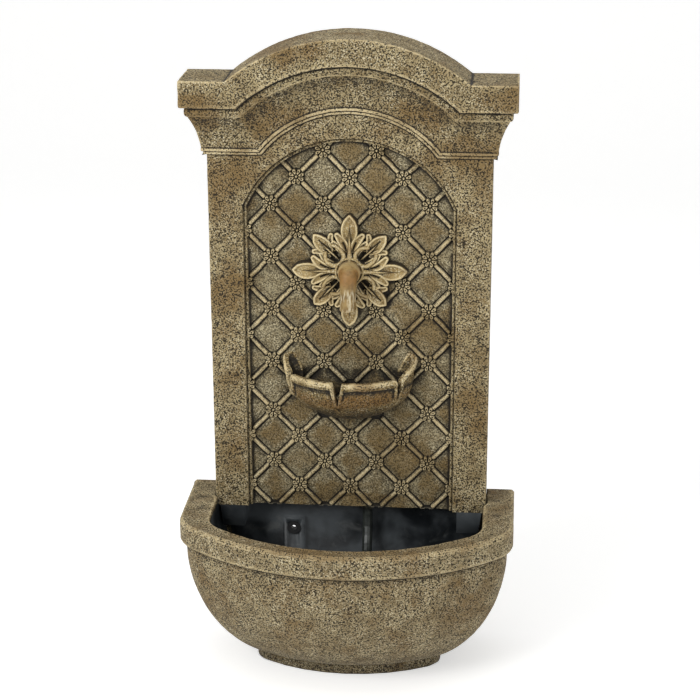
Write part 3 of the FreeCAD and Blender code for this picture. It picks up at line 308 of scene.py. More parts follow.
def roughen(mesh, amount, size, most=0.12):
    """Makes a cast surface slightly uneven along its normals, in millimetres, and never below the floor."""
    place, normal = places_of(mesh)
    uneven = unevenness(place / MM, size, 3) + 0.5 * unevenness(place / MM, size * 0.4, 4)
    place = place + normal * (np.minimum(uneven * amount, most) * MM)[:, None]
    place[:, 2] = np.maximum(place[:, 2], 0.0)
    mesh.vertices.foreach_set("co", place.ravel())
    mesh.update()


def face_outwards(piece):
    """Turns the faces of a closed piece to the same side."""
    work = bmesh.new()
    work.from_mesh(piece.data)
    bmesh.ops.recalc_face_normals(work, faces=work.faces)
    work.to_mesh(piece.data)
    work.free()


# Outlines of the panel


def arch(radius, centre_z, turn, out, count):
    """An arch without its ends, which lie a turn above the level."""
    return [(-radius * cos(a), out, centre_z + radius * sin(a)) for a in spread(turn, pi - turn, count)[1:-1]]


def recess_outline(grow, out):
    """The arched recess's outline from its lower left, over the arch, to its lower right."""
    half = RECESS_HALF + grow
    radius = RECESS_RADIUS + grow
    spring = RECESS_CENTRE_Z + sqrt(radius ** 2 - half ** 2)
    turn = atan2(spring - RECESS_CENTRE_Z, half)
    left = [(-half, out, z) for z in spread(PANEL_BOTTOM, spring, OUTLINE_COUNT)]
    right = [(half, out, z) for z in spread(spring, PANEL_BOTTOM, OUTLINE_COUNT)]
    return np.array(left + arch(radius, RECESS_CENTRE_Z, turn, out, OUTLINE_COUNT) + right)


def crown_line(level, out, half):
    """A line of the crown moulding: straight, arch, straight, at a level below its top edge."""
    z = SHOULDER_Z - level
    radius = CROWN_RADIUS - level
    mitre = sqrt(radius ** 2 - (z - CROWN_CENTRE_Z) ** 2)
    turn = atan2(z - CROWN_CENTRE_Z, mitre)
    left = [(x, out, z) for x in spread(-half, -mitre, 40)]
    right = [(x, out, z) for x in spread(mitre, half, 40)]
    return np.array(left + arch(radius, CROWN_CENTRE_Z, turn, out, 160) + right)


def side_line(half, out, z, size, corner_count, flank_count):
    """A line on the right side: round a small corner and straight back to the wall."""
    corner = [(half - size * (1 - sin(a)), out - size * (1 - cos(a)), z)
              for a in spread(0, pi / 2, corner_count)]
    return np.array(corner + [(half, place, z) for place in spread(out - size, 0.0, flank_count)[1:]])


def between(first, last, count):
    """A grid of straight lines from one line of points to another."""
    shares = spread(0, 1, count)[:, None, None]
    return first[None] * (1 - shares) + last[None] * shares


# Crown moulding


def rounded(corners, radius, steps=4):
    """A section (out, level) with its inner corners rounded by a small radius."""
    line = [np.array(corners[0], float)]
    for before, corner, after in zip(corners, corners[1:], corners[2:]):
        before, corner, after = (np.array(p, float) for p in (before, corner, after))
        arriving = corner - before
        leaving = after - corner
        room = 0.45 * min(np.linalg.norm(arriving), np.linalg.norm(leaving))
        size = min(radius, room)
        start = corner - arriving / np.linalg.norm(arriving) * size
        end = corner + leaving / np.linalg.norm(leaving) * size
        for share in spread(0, 1, steps):
            line.append((1 - share) ** 2 * start + 2 * share * (1 - share) * corner + share ** 2 * end)
    line.append(np.array(corners[-1], float))
    return np.array(line)


def refined(line, step):
    """The same line with points no further apart than a step."""
    points = [line[0]]
    for a, b in zip(line, line[1:]):
        count = max(1, int(np.ceil(np.linalg.norm(b - a) / step)))
        for i in range(1, count + 1):
            points.append(a + (b - a) * i / count)
    return np.array(points)


def moulding_section():
    """The crown moulding's section from the pilaster's face up to its top edge, as (out, level)."""
    low = MOULDING_HEIGHT
    line = [(0.0, low + UNDER_FILLET), (0.0, low), (3.4, low - 0.6), (3.8, low - 3.0), (3.0, low - 4.0),
            (6.0, low - 4.6), (6.4, low - 7.6), (FILLET_STAND, low - 8.4)]
    for i in range(1, COVE_STEPS):
        share = i / COVE_STEPS
        sweep = 0.5 * share + 0.5 * share ** 2.4
        line.append((FILLET_STAND + (COVE_STAND - FILLET_STAND) * sweep,
                     FILLET_TOP + (COVE_TOP - FILLET_TOP) * share))
    line += [(COVE_STAND, COVE_TOP), (18.4, 43.6), (20.6, 42.8), (22.0, 40.6), (22.4, 36.2), (21.6, 33.0),
             (23.4, 32.2), (27.4, 31.6), (FASCIA_PROJECTION, 29.8), (27.8, 16.0), (FASCIA_PROJECTION, 0.0),
             (24.0, 0.0)]
    return refined(rounded([(PILASTER_OUT + stand, level) for stand, level in line], 1.3), 1.3)


def moulding_light_and_shade(level):
    """The tone down the moulding: pale edges as painted highlight, painted shadow lines under them, painted
    shade at the top of the cove, and the fillets' thin pale highlight lines.
    """
    if level > FILLET_TOP - 2.6:
        return np.interp(level, [82, 83.4, 84.3, 86.9, 87.6, 88.4, 89.0, 91.3, 92.2, 93.5],
                         [-0.3, -0.9, 1.0, 1.0, -1.3, -1.3, 1.0, 1.0, -1.0, -0.3])
    return np.interp(level, [0, 2, 5, 27, 29.5, 31, 32.5, 35, 41, 42.4, 43.4, 44.5, 47, 54, 64, 78],
                     [0.3, 0.1, 0, 0, 0.4, 0.5, -0.5, -0.3, -0.15, 0.9, 0.9, -0.4, -0.45, -0.3, -0.1, 0])


def crown_moulding(surface):
    """The moulding round straight, arch and ends, with its top."""
    section = moulding_section()
    rows, returns = [], []
    for out, level in section:
        half = out + PILASTER_HALF - PILASTER_OUT
        rows.append(crown_line(level, out, half - MOULDING_ROUND))
        returns.append(side_line(half, out, SHOULDER_Z - level, MOULDING_ROUND, 5, 46))
    returns = np.array(returns)
    tones = np.array([moulding_light_and_shade(level) for out, level in section])[:, None]
    surface.grid(rows, facing=(0, 1, 0), tone=tones)
    surface.grid(returns * MIRROR, facing=(-1, 0, 0), tone=tones)
    surface.grid(returns, facing=(1, 0, 0), tone=tones)
    half = PILASTER_HALF + FASCIA_PROJECTION - MOULDING_ROUND
    front, back = (crown_line(0.0, out, half) for out in (section[-1][0], 0.0))
    surface.grid(between(front, back, 46), facing=(0, 0, 1))


# Panel front


def trellis_crossings():
    """Every crossing of the ribs in the field, as (x, z)."""
    return [(column * PITCH_X / 2, TRELLIS_TOP - row * PITCH_Z / 2) for row in range(TRELLIS_ROWS)
            for column in range(-TRELLIS_REACH, TRELLIS_REACH + 1) if (row + column) % 2]


def trellis_steps(x, z):
    """How many half pitches a place lies along each of the trellis's two diagonals."""
    down = (TRELLIS_TOP - z) / (PITCH_Z / 2)
    right = x / (PITCH_X / 2)
    return right + down, down - right


def field_relief(x, z):
    """How far the field stands out beyond its plane, and its tone, with painted shade round the ribs and the
    flowers.

    Pillowed tiles lie between grooves and rounded ribs, with a sunk round place under each flower.
    """
    falling, rising = trellis_steps(x, z)
    steepness = 2 * sqrt(1 / PITCH_X ** 2 + 1 / PITCH_Z ** 2)
    wobble = 0.3 * flat_noise(x, z, 8.0, 11)
    offsets = [(family % 2 - 1) / steepness + wobble for family in (falling, rising)]
    first_nearer = np.abs(offsets[0]) < np.abs(offsets[1])
    below = np.where(first_nearer, offsets[0], offsets[1])
    nearest = np.abs(below)
    from_rib = nearest - RIB_EDGE
    half_tile = 1 / steepness - RIB_EDGE
    pillow = TILE_RISE * ease(from_rib / half_tile * 1.6)
    groove = -GROOVE_DEPTH * np.exp(-((from_rib - 0.8) / 0.9) ** 2)
    rib = RIB_HEIGHT * np.sqrt(np.clip(1 - (nearest / RIB_EDGE) ** 3, 0, 1))
    on_rib = nearest < RIB_EDGE
    height = np.where(on_rib, np.maximum(rib, groove), pillow + groove)
    # Painted shadow of each rib on the tile below it, stronger and wider on its lower side
    dark_half = np.where(below > 0, 1.5, 0.8)
    shade = np.where(below > 0, 1.5, 0.5) * np.exp(-((from_rib - 0.7) / dark_half) ** 2)
    uneven = flat_noise(x, z, 6.0, 14) + flat_noise(x, z, 2.5, 15)
    # Rib tops are pale, partly their worn finish and partly painted highlight, and darker where they turn
    # down; tiles are paler in their middles, with painted shade in the groove next to each rib
    rib_tone = 0.5 + 0.4 * uneven - 0.7 * ease((from_rib + 0.8) / 0.8)
    tile_tone = -0.32 + 0.3 * ease(from_rib / half_tile * 1.3) - shade
    tile_tone = tile_tone - 0.75 * np.exp(-np.maximum(from_rib, 0) / 1.7)
    tone = np.where(on_rib, rib_tone, tile_tone) + 0.15 * flat_noise(x, z, 26.0, 12)

    nearest_falling = 2 * np.round((falling - 1) / 2) + 1
    nearest_rising = 2 * np.round((rising - 1) / 2) + 1
    from_x = x - (nearest_falling - nearest_rising) / 2 * PITCH_X / 2
    from_z = z - TRELLIS_TOP + (nearest_falling + nearest_rising) / 2 * PITCH_Z / 2
    from_flower = np.hypot(from_x, from_z)
    sunk = ease((FLOWER_RADIUS + 0.3 - from_flower) / 1.0)
    height = height * (1 - sunk) - GROOVE_DEPTH * sunk
    # Painted shade in the sunk ring round each flower
    tone = tone - 1.6 * ease((FLOWER_RADIUS + 0.9 - from_flower) / 1.2)
    return height, tone


def field(surface):
    """The trellis field as one relief, hidden under the frame at its edges."""
    half, limit = RECESS_HALF - 1.5, RECESS_RADIUS - 1.5
    x, z = np.meshgrid(np.arange(-half, half + FIELD_STEP / 2, FIELD_STEP),
                       np.arange(PANEL_BOTTOM, RECESS_CENTRE_Z + RECESS_RADIUS - 2.0, FIELD_STEP))
    relief, tone = field_relief(x, z)
    points = np.stack([x, FIELD_OUT + relief, z], axis=-1)
    radius = np.hypot(x, z - RECESS_CENTRE_Z)
    outside = (z > RECESS_CENTRE_Z) & (radius > limit)
    pull = np.where(outside, limit / np.maximum(radius, 1.0), 1.0)
    points[..., 0] = x * pull
    points[..., 2] = np.where(outside, RECESS_CENTRE_Z + (z - RECESS_CENTRE_Z) * pull, z)

    # Painted shade next to the frame, a painted shadow round the rosette's leaves that is strongest below
    # them, and painted shade behind and below the bowl
    from_edge = np.where(z > RECESS_CENTRE_Z, limit - radius, half - np.abs(x)) - FRAME_WIDTH
    tone = tone - 0.9 * np.exp(-np.maximum(from_edge, 0) / 3.0)
    direction = np.arctan2(z - ROSETTE_Z, x)
    from_leaves = np.hypot(x, z - ROSETTE_Z) - 48 - 16 * np.abs(np.cos(4 * direction)) ** 1.5
    leaf_shadow_share = 0.15 + 0.65 * ease((ROSETTE_Z + 12 - z) / 40)
    tone = tone - leaf_shadow_share * ease(1 - np.maximum(from_leaves, 0) / 5.0)
    bowl = np.hypot(x / (BOWL_HALF + 10), (z - BOWL_RIM_Z - 6) / (BOWL_DEPTH + 10))
    tone = tone - 0.5 * ease((1.15 - bowl) / 0.3) * ease((BOWL_RIM_Z + 8 - z) / 12)
    surface.grid(points, facing=(0, 1, 0), tone=tone)


def recess_frame(surface):
    """The frame round the recess: a step down to a thin line, a flat band, and a step down to the field."""
    section = rounded([
        (0.0, PILASTER_OUT),
        (-0.6, PILASTER_OUT - 0.2),
        (-1.0, FRAME_OUT + 0.8),
        (-1.6, FRAME_OUT - 0.4),
        (-2.6, FRAME_OUT + 0.5),
        (-FRAME_WIDTH + 0.3, FRAME_OUT + 0.5),
        (-FRAME_WIDTH - 0.2, FRAME_OUT - 0.5),
        (-FRAME_WIDTH - 0.9, FIELD_OUT - 1.6),
    ], 0.5, 3)
    surface.grid([recess_outline(grow, out) for grow, out in refined(section, 0.9)], facing=(0, 1, 0))


def pilaster_face(surface):
    """The flat face between the recess and the pilasters' outer edges and the moulding, and the flanks."""
    edge = PILASTER_HALF - PILASTER_ROUND
    top_line = crown_line(MOULDING_HEIGHT + UNDER_FILLET, PILASTER_OUT, edge)
    heights = spread(PANEL_BOTTOM, top_line[0][2], OUTLINE_COUNT)
    left = np.array([(-edge, PILASTER_OUT, z) for z in heights])
    lengths = lengths_along(top_line)
    wanted = spread(0, lengths[-1], OUTLINE_COUNT)[1:-1]
    over = np.stack([np.interp(wanted, lengths, top_line[:, i]) for i in range(3)], axis=-1)
    outer = np.concatenate([left, over, left[::-1] * MIRROR])
    surface.grid(between(recess_outline(0.0, PILASTER_OUT), outer, 36), facing=(0, 1, 0))
    flank = np.array([side_line(PILASTER_HALF, PILASTER_OUT, z, PILASTER_ROUND, 6, 36) for z in heights])
    surface.grid(flank * MIRROR, facing=(-1, 0, 0))
    surface.grid(flank, facing=(1, 0, 0))


def flower(surface, x, z, turn):
    """A small flower: eight looped petals round a small eye, with painted shade in the gaps between the
    petals, in their hollows and round the eye.
    """
    radii = np.array([0.0, 0.7, 1.3, 1.9, 2.4, 2.9, 3.5, 4.2, 5.0, 5.8, 6.6, 7.3, 7.9, 8.5, 9.1, 9.6, 10.0])
    turns = full_turn()
    r, t = np.meshgrid(radii, turns, indexing="ij")
    phase = (t - turn) / (pi / 4) % 1.0 - 0.5
    across = np.abs(phase) * (pi / 4) * r
    half = np.interp(r, [2.2, 4.0, 6.5, 8.0, 9.0, 9.9], [0.7, 1.2, 2.05, 2.3, 1.7, 0.0])
    margin = half - across
    petal = ease((margin + 0.1) / 0.6) * ease((FLOWER_RADIUS + 0.5 - r) / 0.7) * ease((r - 2.6) / 0.5)
    hollow = ease((margin - 1.1) / 0.4) * ease((7.9 - r) / 0.6) * ease((r - 4.8) / 0.6)
    height = -1.2 + (FLOWER_HEIGHT + 1.6) * petal - 1.5 * hollow * petal
    height = np.where(r < 2.8, 0.2 + 4.4 * ease((2.0 - r) / 0.8), height)
    # Painted shade in the gaps between the petals, in their hollows and round the eye
    tone = -1.6 + 3.1 * petal - 1.9 * hollow * petal
    tone = np.where(r < 2.8, -1.6 + 2.5 * ease((1.6 - r) / 0.6), tone)
    points = np.stack([x + r * np.cos(t), FIELD_OUT + height, z + r * np.sin(t)], axis=-1)
    surface.grid(points, facing=(0, 1, 0), around=True, tone=tone)


def flowers():
    """A flower at each crossing that the rosette and the bowl leave free."""
    surface = Surface()
    turns = np.random.default_rng(5).uniform(-0.15, 0.15, 200)
    for i, (x, z) in enumerate(trellis_crossings()):
        in_arch = z < RECESS_CENTRE_Z or hypot(x, z - RECESS_CENTRE_Z) < RECESS_RADIUS - 4
        under_bowl = abs(x) < BOWL_HALF and BOWL_RIM_Z - BOWL_DEPTH < z < BOWL_RIM_Z
        if in_arch and not under_bowl and hypot(x, z - ROSETTE_Z) > 22:
            flower(surface, x, z, turns[i])
    piece = surface.make("trellis_flowers", rough=0.12, rough_size=3.0)
    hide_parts("wall_panel")
    return piece


def panel_back(middle, normal):
    """Whether a face of the panel's solid belongs to its hollow back or its lower edge."""
    x, out, z = middle
    across, outward, up = normal
    if up < -0.9 and z < PANEL_BOTTOM + 0.5:
        return True
    if outward < -0.05:
        return True
    if outward > 0.05 or out > FIELD_OUT + 1.1:
        return False
    is_boss = abs(x) < BOSS_REACH and z < BOSS_TOP
    is_flank = across * x > 0.5 * abs(x) and abs(x) > PILASTER_HALF - 1 and not is_boss
    is_top = up > 0.2 and z > SHOULDER_Z - 60
    return not is_flank and not is_top


def wall_panel():
    """The panel's front and sides, its trellis field, and its plain back from the solid."""
    surface = Surface()
    crown_moulding(surface)
    recess_frame(surface)
    pilaster_face(surface)
    piece = surface.make("panel")
    trellis = Surface()
    field(trellis)
    ground = trellis.make("trellis_field")
    for made in (piece, ground):
        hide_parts("wall_panel")
    hollow = Surface()
    hollow.mesh_part(frame["nodes"]["wall_panel"].data, panel_back)
    back = hollow.make("panel_back", rough=0)
    back.data.set_sharp_from_angle(angle=radians(30))
    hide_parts("wall_panel")
    return piece, ground, back


# Rosette and spout


def bezier(points, count=33):
    """A smooth line that starts at the first point, is drawn towards the next ones and ends at the last."""
    share = spread(0, 1, count)[:, None]
    layers = [np.array(p, float)[None, :] for p in points]
    while len(layers) > 1:
        layers = [a + (b - a) * share for a, b in zip(layers, layers[1:])]
    return layers[0]


class Relief:
    """A carved relief over a square of places: its height, and its tone."""

    def __init__(self, reach, step):
        axis = np.arange(-reach, reach + step / 2, step)
        self.x, self.z = np.meshgrid(axis, axis)
        self.height = np.full(self.x.shape, -50.0)
        self.tone = np.full(self.x.shape, -1.0)
        self.turn = 0.0
        self.wave = 0.35 * flat_noise(self.x, self.z, 11.0, 51)

    def places(self):
        """Every place along and across the present direction, a little waved."""
        along = self.x * cos(self.turn) + self.z * sin(self.turn)
        across = -self.x * sin(self.turn) + self.z * cos(self.turn)
        return along + self.wave, across - self.wave

    def lobe(self, spine, widths, heights, rim=0.9, vein=0.0, carved=True, painted_shade=0.0):
        """Lays a leaf or a ridge along a line of (along, across) points where it stands above what is there.

        widths and heights are spread evenly along the line. A carved lobe has a rim and a hollow, and a vein
        for a share of its length; a ridge is round.
        """
        along, across = self.places()
        share = spread(0, 1, len(spine))
        width = np.interp(share, spread(0, 1, len(widths)), widths)
        crest = np.interp(share, spread(0, 1, len(heights)), heights)
        low = spine.min(axis=0) - max(widths) - 2
        high = spine.max(axis=0) + max(widths) + 2
        near = (along > low[0]) & (along < high[0]) & (across > low[1]) & (across < high[1])
        gaps = np.hypot(along[near][:, None] - spine[None, :, 0], across[near][:, None] - spine[None, :, 1])
        inside = width[None, :] - gaps
        pick = np.argmax(inside, axis=1)
        rows = np.arange(len(pick))
        margin, middle, height = inside[rows, pick], gaps[rows, pick], crest[pick]
        if carved:
            raised = ease((margin - 0.2) / 1.4) * (1 - ease((margin - 2.2) / 2.2))
            dished = ease((margin - 2.0) / 3.5)
            cut = np.exp(-(middle / 1.1) ** 2) * (share[pick] < vein) * ease((margin - 1.0) / 1.5)
            height = height + rim * raised - 2.2 * dished - 1.8 * cut
            height = height - 2.0 * np.clip(1 - margin / 2.6, 0, 1) ** 2
            # Painted shading along the leaf, darker at its root and paler towards its tip, a painted highlight
            # on the raised rim, and painted shade in the dish and the vein
            tone = painted_shade + 0.05 + 0.65 * share[pick] + 0.2 * raised - 0.25 * dished - 1.3 * cut
        else:
            round_share = np.clip(1 - margin / np.maximum(width[pick], 0.1), 0, 1)
            height = height - 0.9 * width[pick] * round_share ** 2.2
            # Painted shade down the sides of a round ridge
            tone = 0.4 - 1.5 * round_share ** 2
        height = height - 3.0 * ease((0.6 - margin) / 0.6) + np.minimum(margin, 0.0) * 8.0
        # Painted shade in the gap round every lobe
        tone = tone - 2.4 * ease((1.3 - margin) / 1.0)
        before = self.height[near]
        above = height > before
        self.height[near] = np.where(above, height, before)
        self.tone[near] = np.where(above, tone, self.tone[near])


def rosette_relief():
    """Four acanthus leaves over four between them, each of these rising out of a thick curl."""
    relief = Relief(LEAF_LENGTH + 2.5, LEAF_STEP)
    radius = np.hypot(relief.x, relief.z)
    relief.height = np.where(radius < 42, 0.8, relief.height)
    straight = [quarter * pi / 2 for quarter in range(4)]
    diagonal = [turn + pi / 4 for turn in straight]
    for relief.turn in diagonal:
        for side in (1, -1):
            finger = bezier([(31, 5 * side), (42, 6 * side), (46.0, 14.0 * side)])
            relief.lobe(finger, (3.0, 4.4, 4.8, 4.2), (4.5, 6.5, 5.0), vein=0.5)
        spade = bezier([(33, 0), (46, 0), (SIDE_LEAF_LENGTH - 2, 0)])
        relief.lobe(spade, (4.5, 7.4, 9.0, 9.6, 9.4, 8.2, 5.6, 2.6), (5.0, 7.0, 8.8, 8.2, 6.0), vein=0.72)
    for relief.turn in straight:
        for side in (1, -1):
            small = bezier([(19, 9 * side), (29, 11 * side), (34.0, 19.5 * side)])
            relief.lobe(small, (2.6, 3.8, 4.6, 4.8, 4.0), (6.5, 8.5, 6.5), vein=0.5)
            finger = bezier([(25, 4 * side), (36, 6 * side), (43.5, 15.0 * side)])
            relief.lobe(finger, (3.0, 4.8, 6.0, 6.2, 5.6, 4.4), (8.0, 10.2, 10.0, 7.5), vein=0.55)
        leaf = bezier([(36, 0), (52, 0), (LEAF_LENGTH - 2.5, 0)])
        relief.lobe(leaf, (4.5, 7.6, 10.0, 11.0, 10.8, 9.2, 6.2, 2.8), (8.5, 10.2, 11.4, 10.4, 8.0))
    for relief.turn in diagonal:
        stem = bezier([(19, 0), (32, 0), (47, 0)])
        relief.lobe(stem, (1.3, 1.8, 1.8, 1.0), (5.5, 8.3, 8.8), carved=False)
        hook_out = bezier([(36.0, 5.0), (30, 12.5), (24.5, 10.8)])
        bottom = bezier([(24.5, 10.8), (14.0, 10.5), (12.5, 0.0), (14.0, -10.5), (24.5, -10.8)])
        hook_in = bezier([(24.5, -10.8), (30, -12.5), (36.5, -8.0)])
        curl = np.concatenate([hook_out, bottom, hook_in])
        relief.lobe(curl, (3.4, 3.2, 3.4, 3.6, 3.4, 3.2, 3.4), (9.0, 10.5, 11.8, 12.4, 11.8, 10.5, 9.0),
                    carved=False)
    for relief.turn in straight:
        # The bed on both sides of each stem is painted dark, as shade in the grooves that flank it
        bed = bezier([(13, 0), (38, 0), (61, 0)])
        relief.lobe(bed, (7.8, 5.6, 4.2, 3.2, 2.0, 0.6), (7.0, 7.4, 8.6, 9.4, 8.6), rim=0.0, painted_shade=-0.6)
        stem = bezier([(10, 0), (34, 0), (60, 0)])
        relief.lobe(stem, (6.2, 3.8, 2.6, 1.8, 1.1, 0.5), (13.0, 12.0, 11.6, 11.2, 10.0), carved=False)
    boss = 11.5 + 1.6 * np.exp(-((radius - 16.0) / 1.3) ** 2)
    in_boss = (radius < 17.5) & (boss > relief.height)
    relief.height = np.where(in_boss, boss, relief.height)
    # Dark inside the boss's ring: painted shade round the spout's stub
    relief.tone = np.where(in_boss, np.where(radius > 15, 0.1, -1.4), relief.tone)
    relief.height += 0.16 * flat_noise(relief.x, relief.z, 3.0, 21)
    return relief


def rosette():
    """The leaves as one carved piece that reaches down into the field."""
    relief = rosette_relief()
    kept = relief.height > LEAF_FLOOR
    height = np.maximum(relief.height, LEAF_FLOOR)
    index = np.arange(height.size).reshape(height.shape)
    whole = kept[:-1, :-1] | kept[1:, :-1] | kept[1:, 1:] | kept[:-1, 1:]
    quads = np.stack([index[:-1, :-1], index[:-1, 1:], index[1:, 1:], index[1:, :-1]], axis=-1)[whole]
    places = np.stack([relief.x, FIELD_OUT + height, ROSETTE_Z + relief.z], axis=-1)
    used, quads = np.unique(quads.ravel(), return_inverse=True)
    surface = Surface()
    surface.add(to_frame(places).reshape(-1, 3)[used], quads.reshape(-1, 4), relief.tone.ravel()[used])
    piece = surface.make("leaf_rosette", rough=0)
    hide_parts("rosette")
    return piece


def spout():
    """A stub out of the rosette, a round knuckle, and a nozzle that bends down to a ragged mouth."""
    surface = Surface()
    turns = full_turn()
    stub = [(40.0, 14.6), (47.0, 14.6), (48.6, 13.8), (49.4, 12.4), (50.4, 11.6), (53.0, 11.0), (56.0, 11.0)]
    rows = [[(r * cos(t), out, ROSETTE_Z + r * sin(t)) for t in turns]
            for out, r in refined(rounded(stub, 1.0), 1.0)]
    surface.grid(rows, away=(0, 48.0, ROSETTE_Z), around=True, tone=-0.25)
    reach, down = (SPOUT_BALL_RADIUS * f(spread(0.35, pi - 0.05, 30))[:, None] for f in (np.sin, np.cos))
    ball = np.stack(np.broadcast_arrays(reach * np.cos(turns), BALL_OUT - down,
                                        ROSETTE_Z + reach * np.sin(turns)), axis=-1)
    mouth_out, mouth_z = SPOUT_MOUTH
    path = bezier([(BALL_OUT, ROSETTE_Z), (64.5, ROSETTE_Z + 2.0), (68.5, ROSETTE_Z - 5.0),
                   (66.5, ROSETTE_Z - 24.0), (mouth_out, mouth_z)], 46)
    slope = np.gradient(path, axis=0)
    slope /= np.linalg.norm(slope, axis=1)[:, None]
    radius = np.interp(spread(0, 1, len(path)), [0, 0.3, 0.55, 0.8, 0.94, 1.0],
                       [10.4, 10.4, 9.8, 9.2, 9.6, 10.2])

    # Painted shade on the ball in the crease round the nozzle that leaves it, strongest below, and where it
    # meets the stub
    gaps = np.hypot(ball[..., 1, None] - path[:, 0], ball[..., 2, None] - path[:, 1]).min(axis=-1)
    gaps = np.hypot(gaps, ball[..., 0])
    crease_shade_share = 0.35 + 0.65 * ease((ROSETTE_Z + 6 - ball[..., 2]) / 8.0)
    tone = 0.45 - 1.4 * crease_shade_share * ease((12.4 - gaps) / 1.8) - 1.0 * ease((BALL_OUT - 5 - ball[..., 1]) / 4.0)
    surface.grid(ball, away=(0, BALL_OUT, ROSETTE_Z), around=True, tone=tone)
    mouth_noise = np.array([unevenness(np.array([cos(t) * 30, sin(t) * 30, 5.0]), 13.0, 31) for t in turns])

    def ring(station, size, slide=0.0):
        """One ring round the nozzle, slid along it by an amount for each point."""
        place, direction = path[station], slope[station]
        points = []
        for t, move in zip(turns, np.broadcast_to(slide, len(turns))):
            out = place[0] + direction[0] * move - direction[1] * size * sin(t)
            z = place[1] + direction[1] * move + direction[0] * size * sin(t)
            points.append((size * cos(t), out, z))
        return points

    ragged = 1.7 * mouth_noise - 1.4 + 1.2 * np.sin(turns)
    last = len(path) - 1
    outer = [ring(station, radius[station], ease((station - last + 11) / 11) * ragged)
             for station in range(len(path))]
    inner = [ring(last, 9.4, ragged + 0.5), ring(last, 8.2, ragged + 0.4), ring(last, 7.3, ragged - 1.0)]
    inner += [ring(station, 7.0, ragged * share) for station, share in
              [(last - 4, 0.7), (last - 8, 0.4), (last - 12, 0.1), (last - 18, 0.0)]]
    surface.grid(outer, facing=(0, 0, 1), around=True, tone=0.2)
    # The mouth's lip is pale, and the inside of the nozzle is painted dark, as shade
    surface.grid([outer[-1]] + inner, facing=(0, 0, -1), around=True,
                 tone=np.array([0.9, 0.7, -0.2, -1, -1, -1, -1, -1])[:, None])
    piece = surface.make("spout_shell", rough=0.12, rough_size=7.0)
    face_outwards(piece)
    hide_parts("spout")
    return piece


# Bow-front outlines


def bow_front(half, front, front_radius, corner_radius, back, counts=(16, 36, 90)):
    """Half of a bow-front outline as (x, out), from the back of the right side to the middle of the front."""
    side_count, corner_count, bow_count = counts
    span = front_radius - corner_radius
    inner_half = half - corner_radius
    bow_centre = front - front_radius
    side_end = bow_centre + sqrt(span ** 2 - inner_half ** 2)
    turn = acos(inner_half / span)
    side = [(half, out) for out in spread(back, side_end, side_count)]
    corner = [(inner_half + corner_radius * cos(a), side_end + corner_radius * sin(a))
              for a in spread(0, turn, corner_count)[1:]]
    bow = [(front_radius * cos(a), bow_centre + front_radius * sin(a))
           for a in spread(turn, pi / 2, bow_count)[1:]]
    return np.array(side + corner + bow)


def whole_outline(right_half):
    """The outline with its left half added."""
    return np.concatenate([right_half, right_half[::-1][1:] * np.array([-1, 1])])


def at_height(outline, z):
    """The outline as places at one height, or at one for each point."""
    return np.column_stack([outline, np.broadcast_to(z, len(outline))])


def closing(row, centre, count):
    """Rows that close a ring to nearly a point at its centre."""
    return between(row, centre * 0.999 + row * 0.001, count)


# Basin


def basin_outline(half, front, back):
    """An outline of the basin, with radii between the foot's and the rim's by its half width."""
    share = (half - FOOT_HALF) / (BASIN_HALF - FOOT_HALF)
    front_radius = FOOT_FRONT_RADIUS + share * (BASIN_FRONT_RADIUS - FOOT_FRONT_RADIUS)
    corner_radius = FOOT_CORNER_RADIUS + share * (BASIN_CORNER_RADIUS - FOOT_CORNER_RADIUS)
    return whole_outline(bow_front(half, front, front_radius, corner_radius, back))


def basin_levels():
    """The basin's outside from the foot up over the rim, as (z, half width, front)."""
    line = [(0.0, FOOT_HALF - 1.2), (1.2, FOOT_HALF), (FOOT_HEIGHT - 2.0, FOOT_HALF + 0.3),
            (FOOT_HEIGHT - 0.3, FOOT_HALF - 0.6), (FOOT_HEIGHT + 0.5, FOOT_HALF + FOOT_STEP - 0.6)]
    low, high = FOOT_HEIGHT + 1.0, RIM_Z - BAND_HEIGHT
    half_low, half_high = FOOT_HALF + FOOT_STEP, BASIN_HALF - BAND_STAND
    for share in spread(0.0, 1.0, 90) ** 1.6:
        swell = (1 - (1 - share) ** 2) ** 0.75
        line.append((low + share * (high - low), half_low + (half_high - half_low) * swell))
    line = line[:-1] + [(high - 0.4, half_high - 0.2), (high + 0.6, half_high - 0.9)]
    line += [(high + 1.6, half_high + 0.6)]
    line += [(high + 5.6, BASIN_HALF - 1.2), (high + 8.0, BASIN_HALF - 0.1), (RIM_Z - 12.0, BASIN_HALF)]
    line += [(RIM_Z - drop, BASIN_HALF - inset)
             for drop, inset in ((4.5, 0.2), (1.6, 1.3), (0.3, 3.2), (0, RIM_EDGE))]
    return refined(np.array(line), 1.7)


def basin_front(half):
    """How far the front stands out where the half width is given."""
    if half <= FOOT_HALF + FOOT_STEP:
        return FOOT_DEPTH + half - FOOT_HALF
    low, high = FOOT_HALF + FOOT_STEP, BASIN_HALF - BAND_STAND
    front_low, front_high = FOOT_DEPTH + FOOT_STEP, BASIN_DEPTH - BAND_STAND
    return front_low + (half - low) * (front_high - front_low) / (high - low)


def basin_back(middle, normal):
    """Whether a face of the basin's solid belongs to its back, its tongue, its feet or the panel's seats."""
    x, out, z = middle
    outward, up = normal[1:]
    if out < 0.6 and outward < -0.9:
        return True
    if z < 0.5 and up < -0.9:
        return True
    if z > PANEL_BOTTOM + 0.5:
        return out < BACK_WALL + 0.6
    if out < BACK_WALL + CHANNEL_STAND and abs(x) < CHANNEL_REACH:
        return True
    if abs(x) > SHOULDER_INNER - 0.5 and out < PILASTER_OUT + 0.4 and z > SHOULDER_LOW - 0.5:
        return z < PANEL_BOTTOM + 0.4
    return out < BACK_WALL + 0.6 and z > BASIN_FLOOR


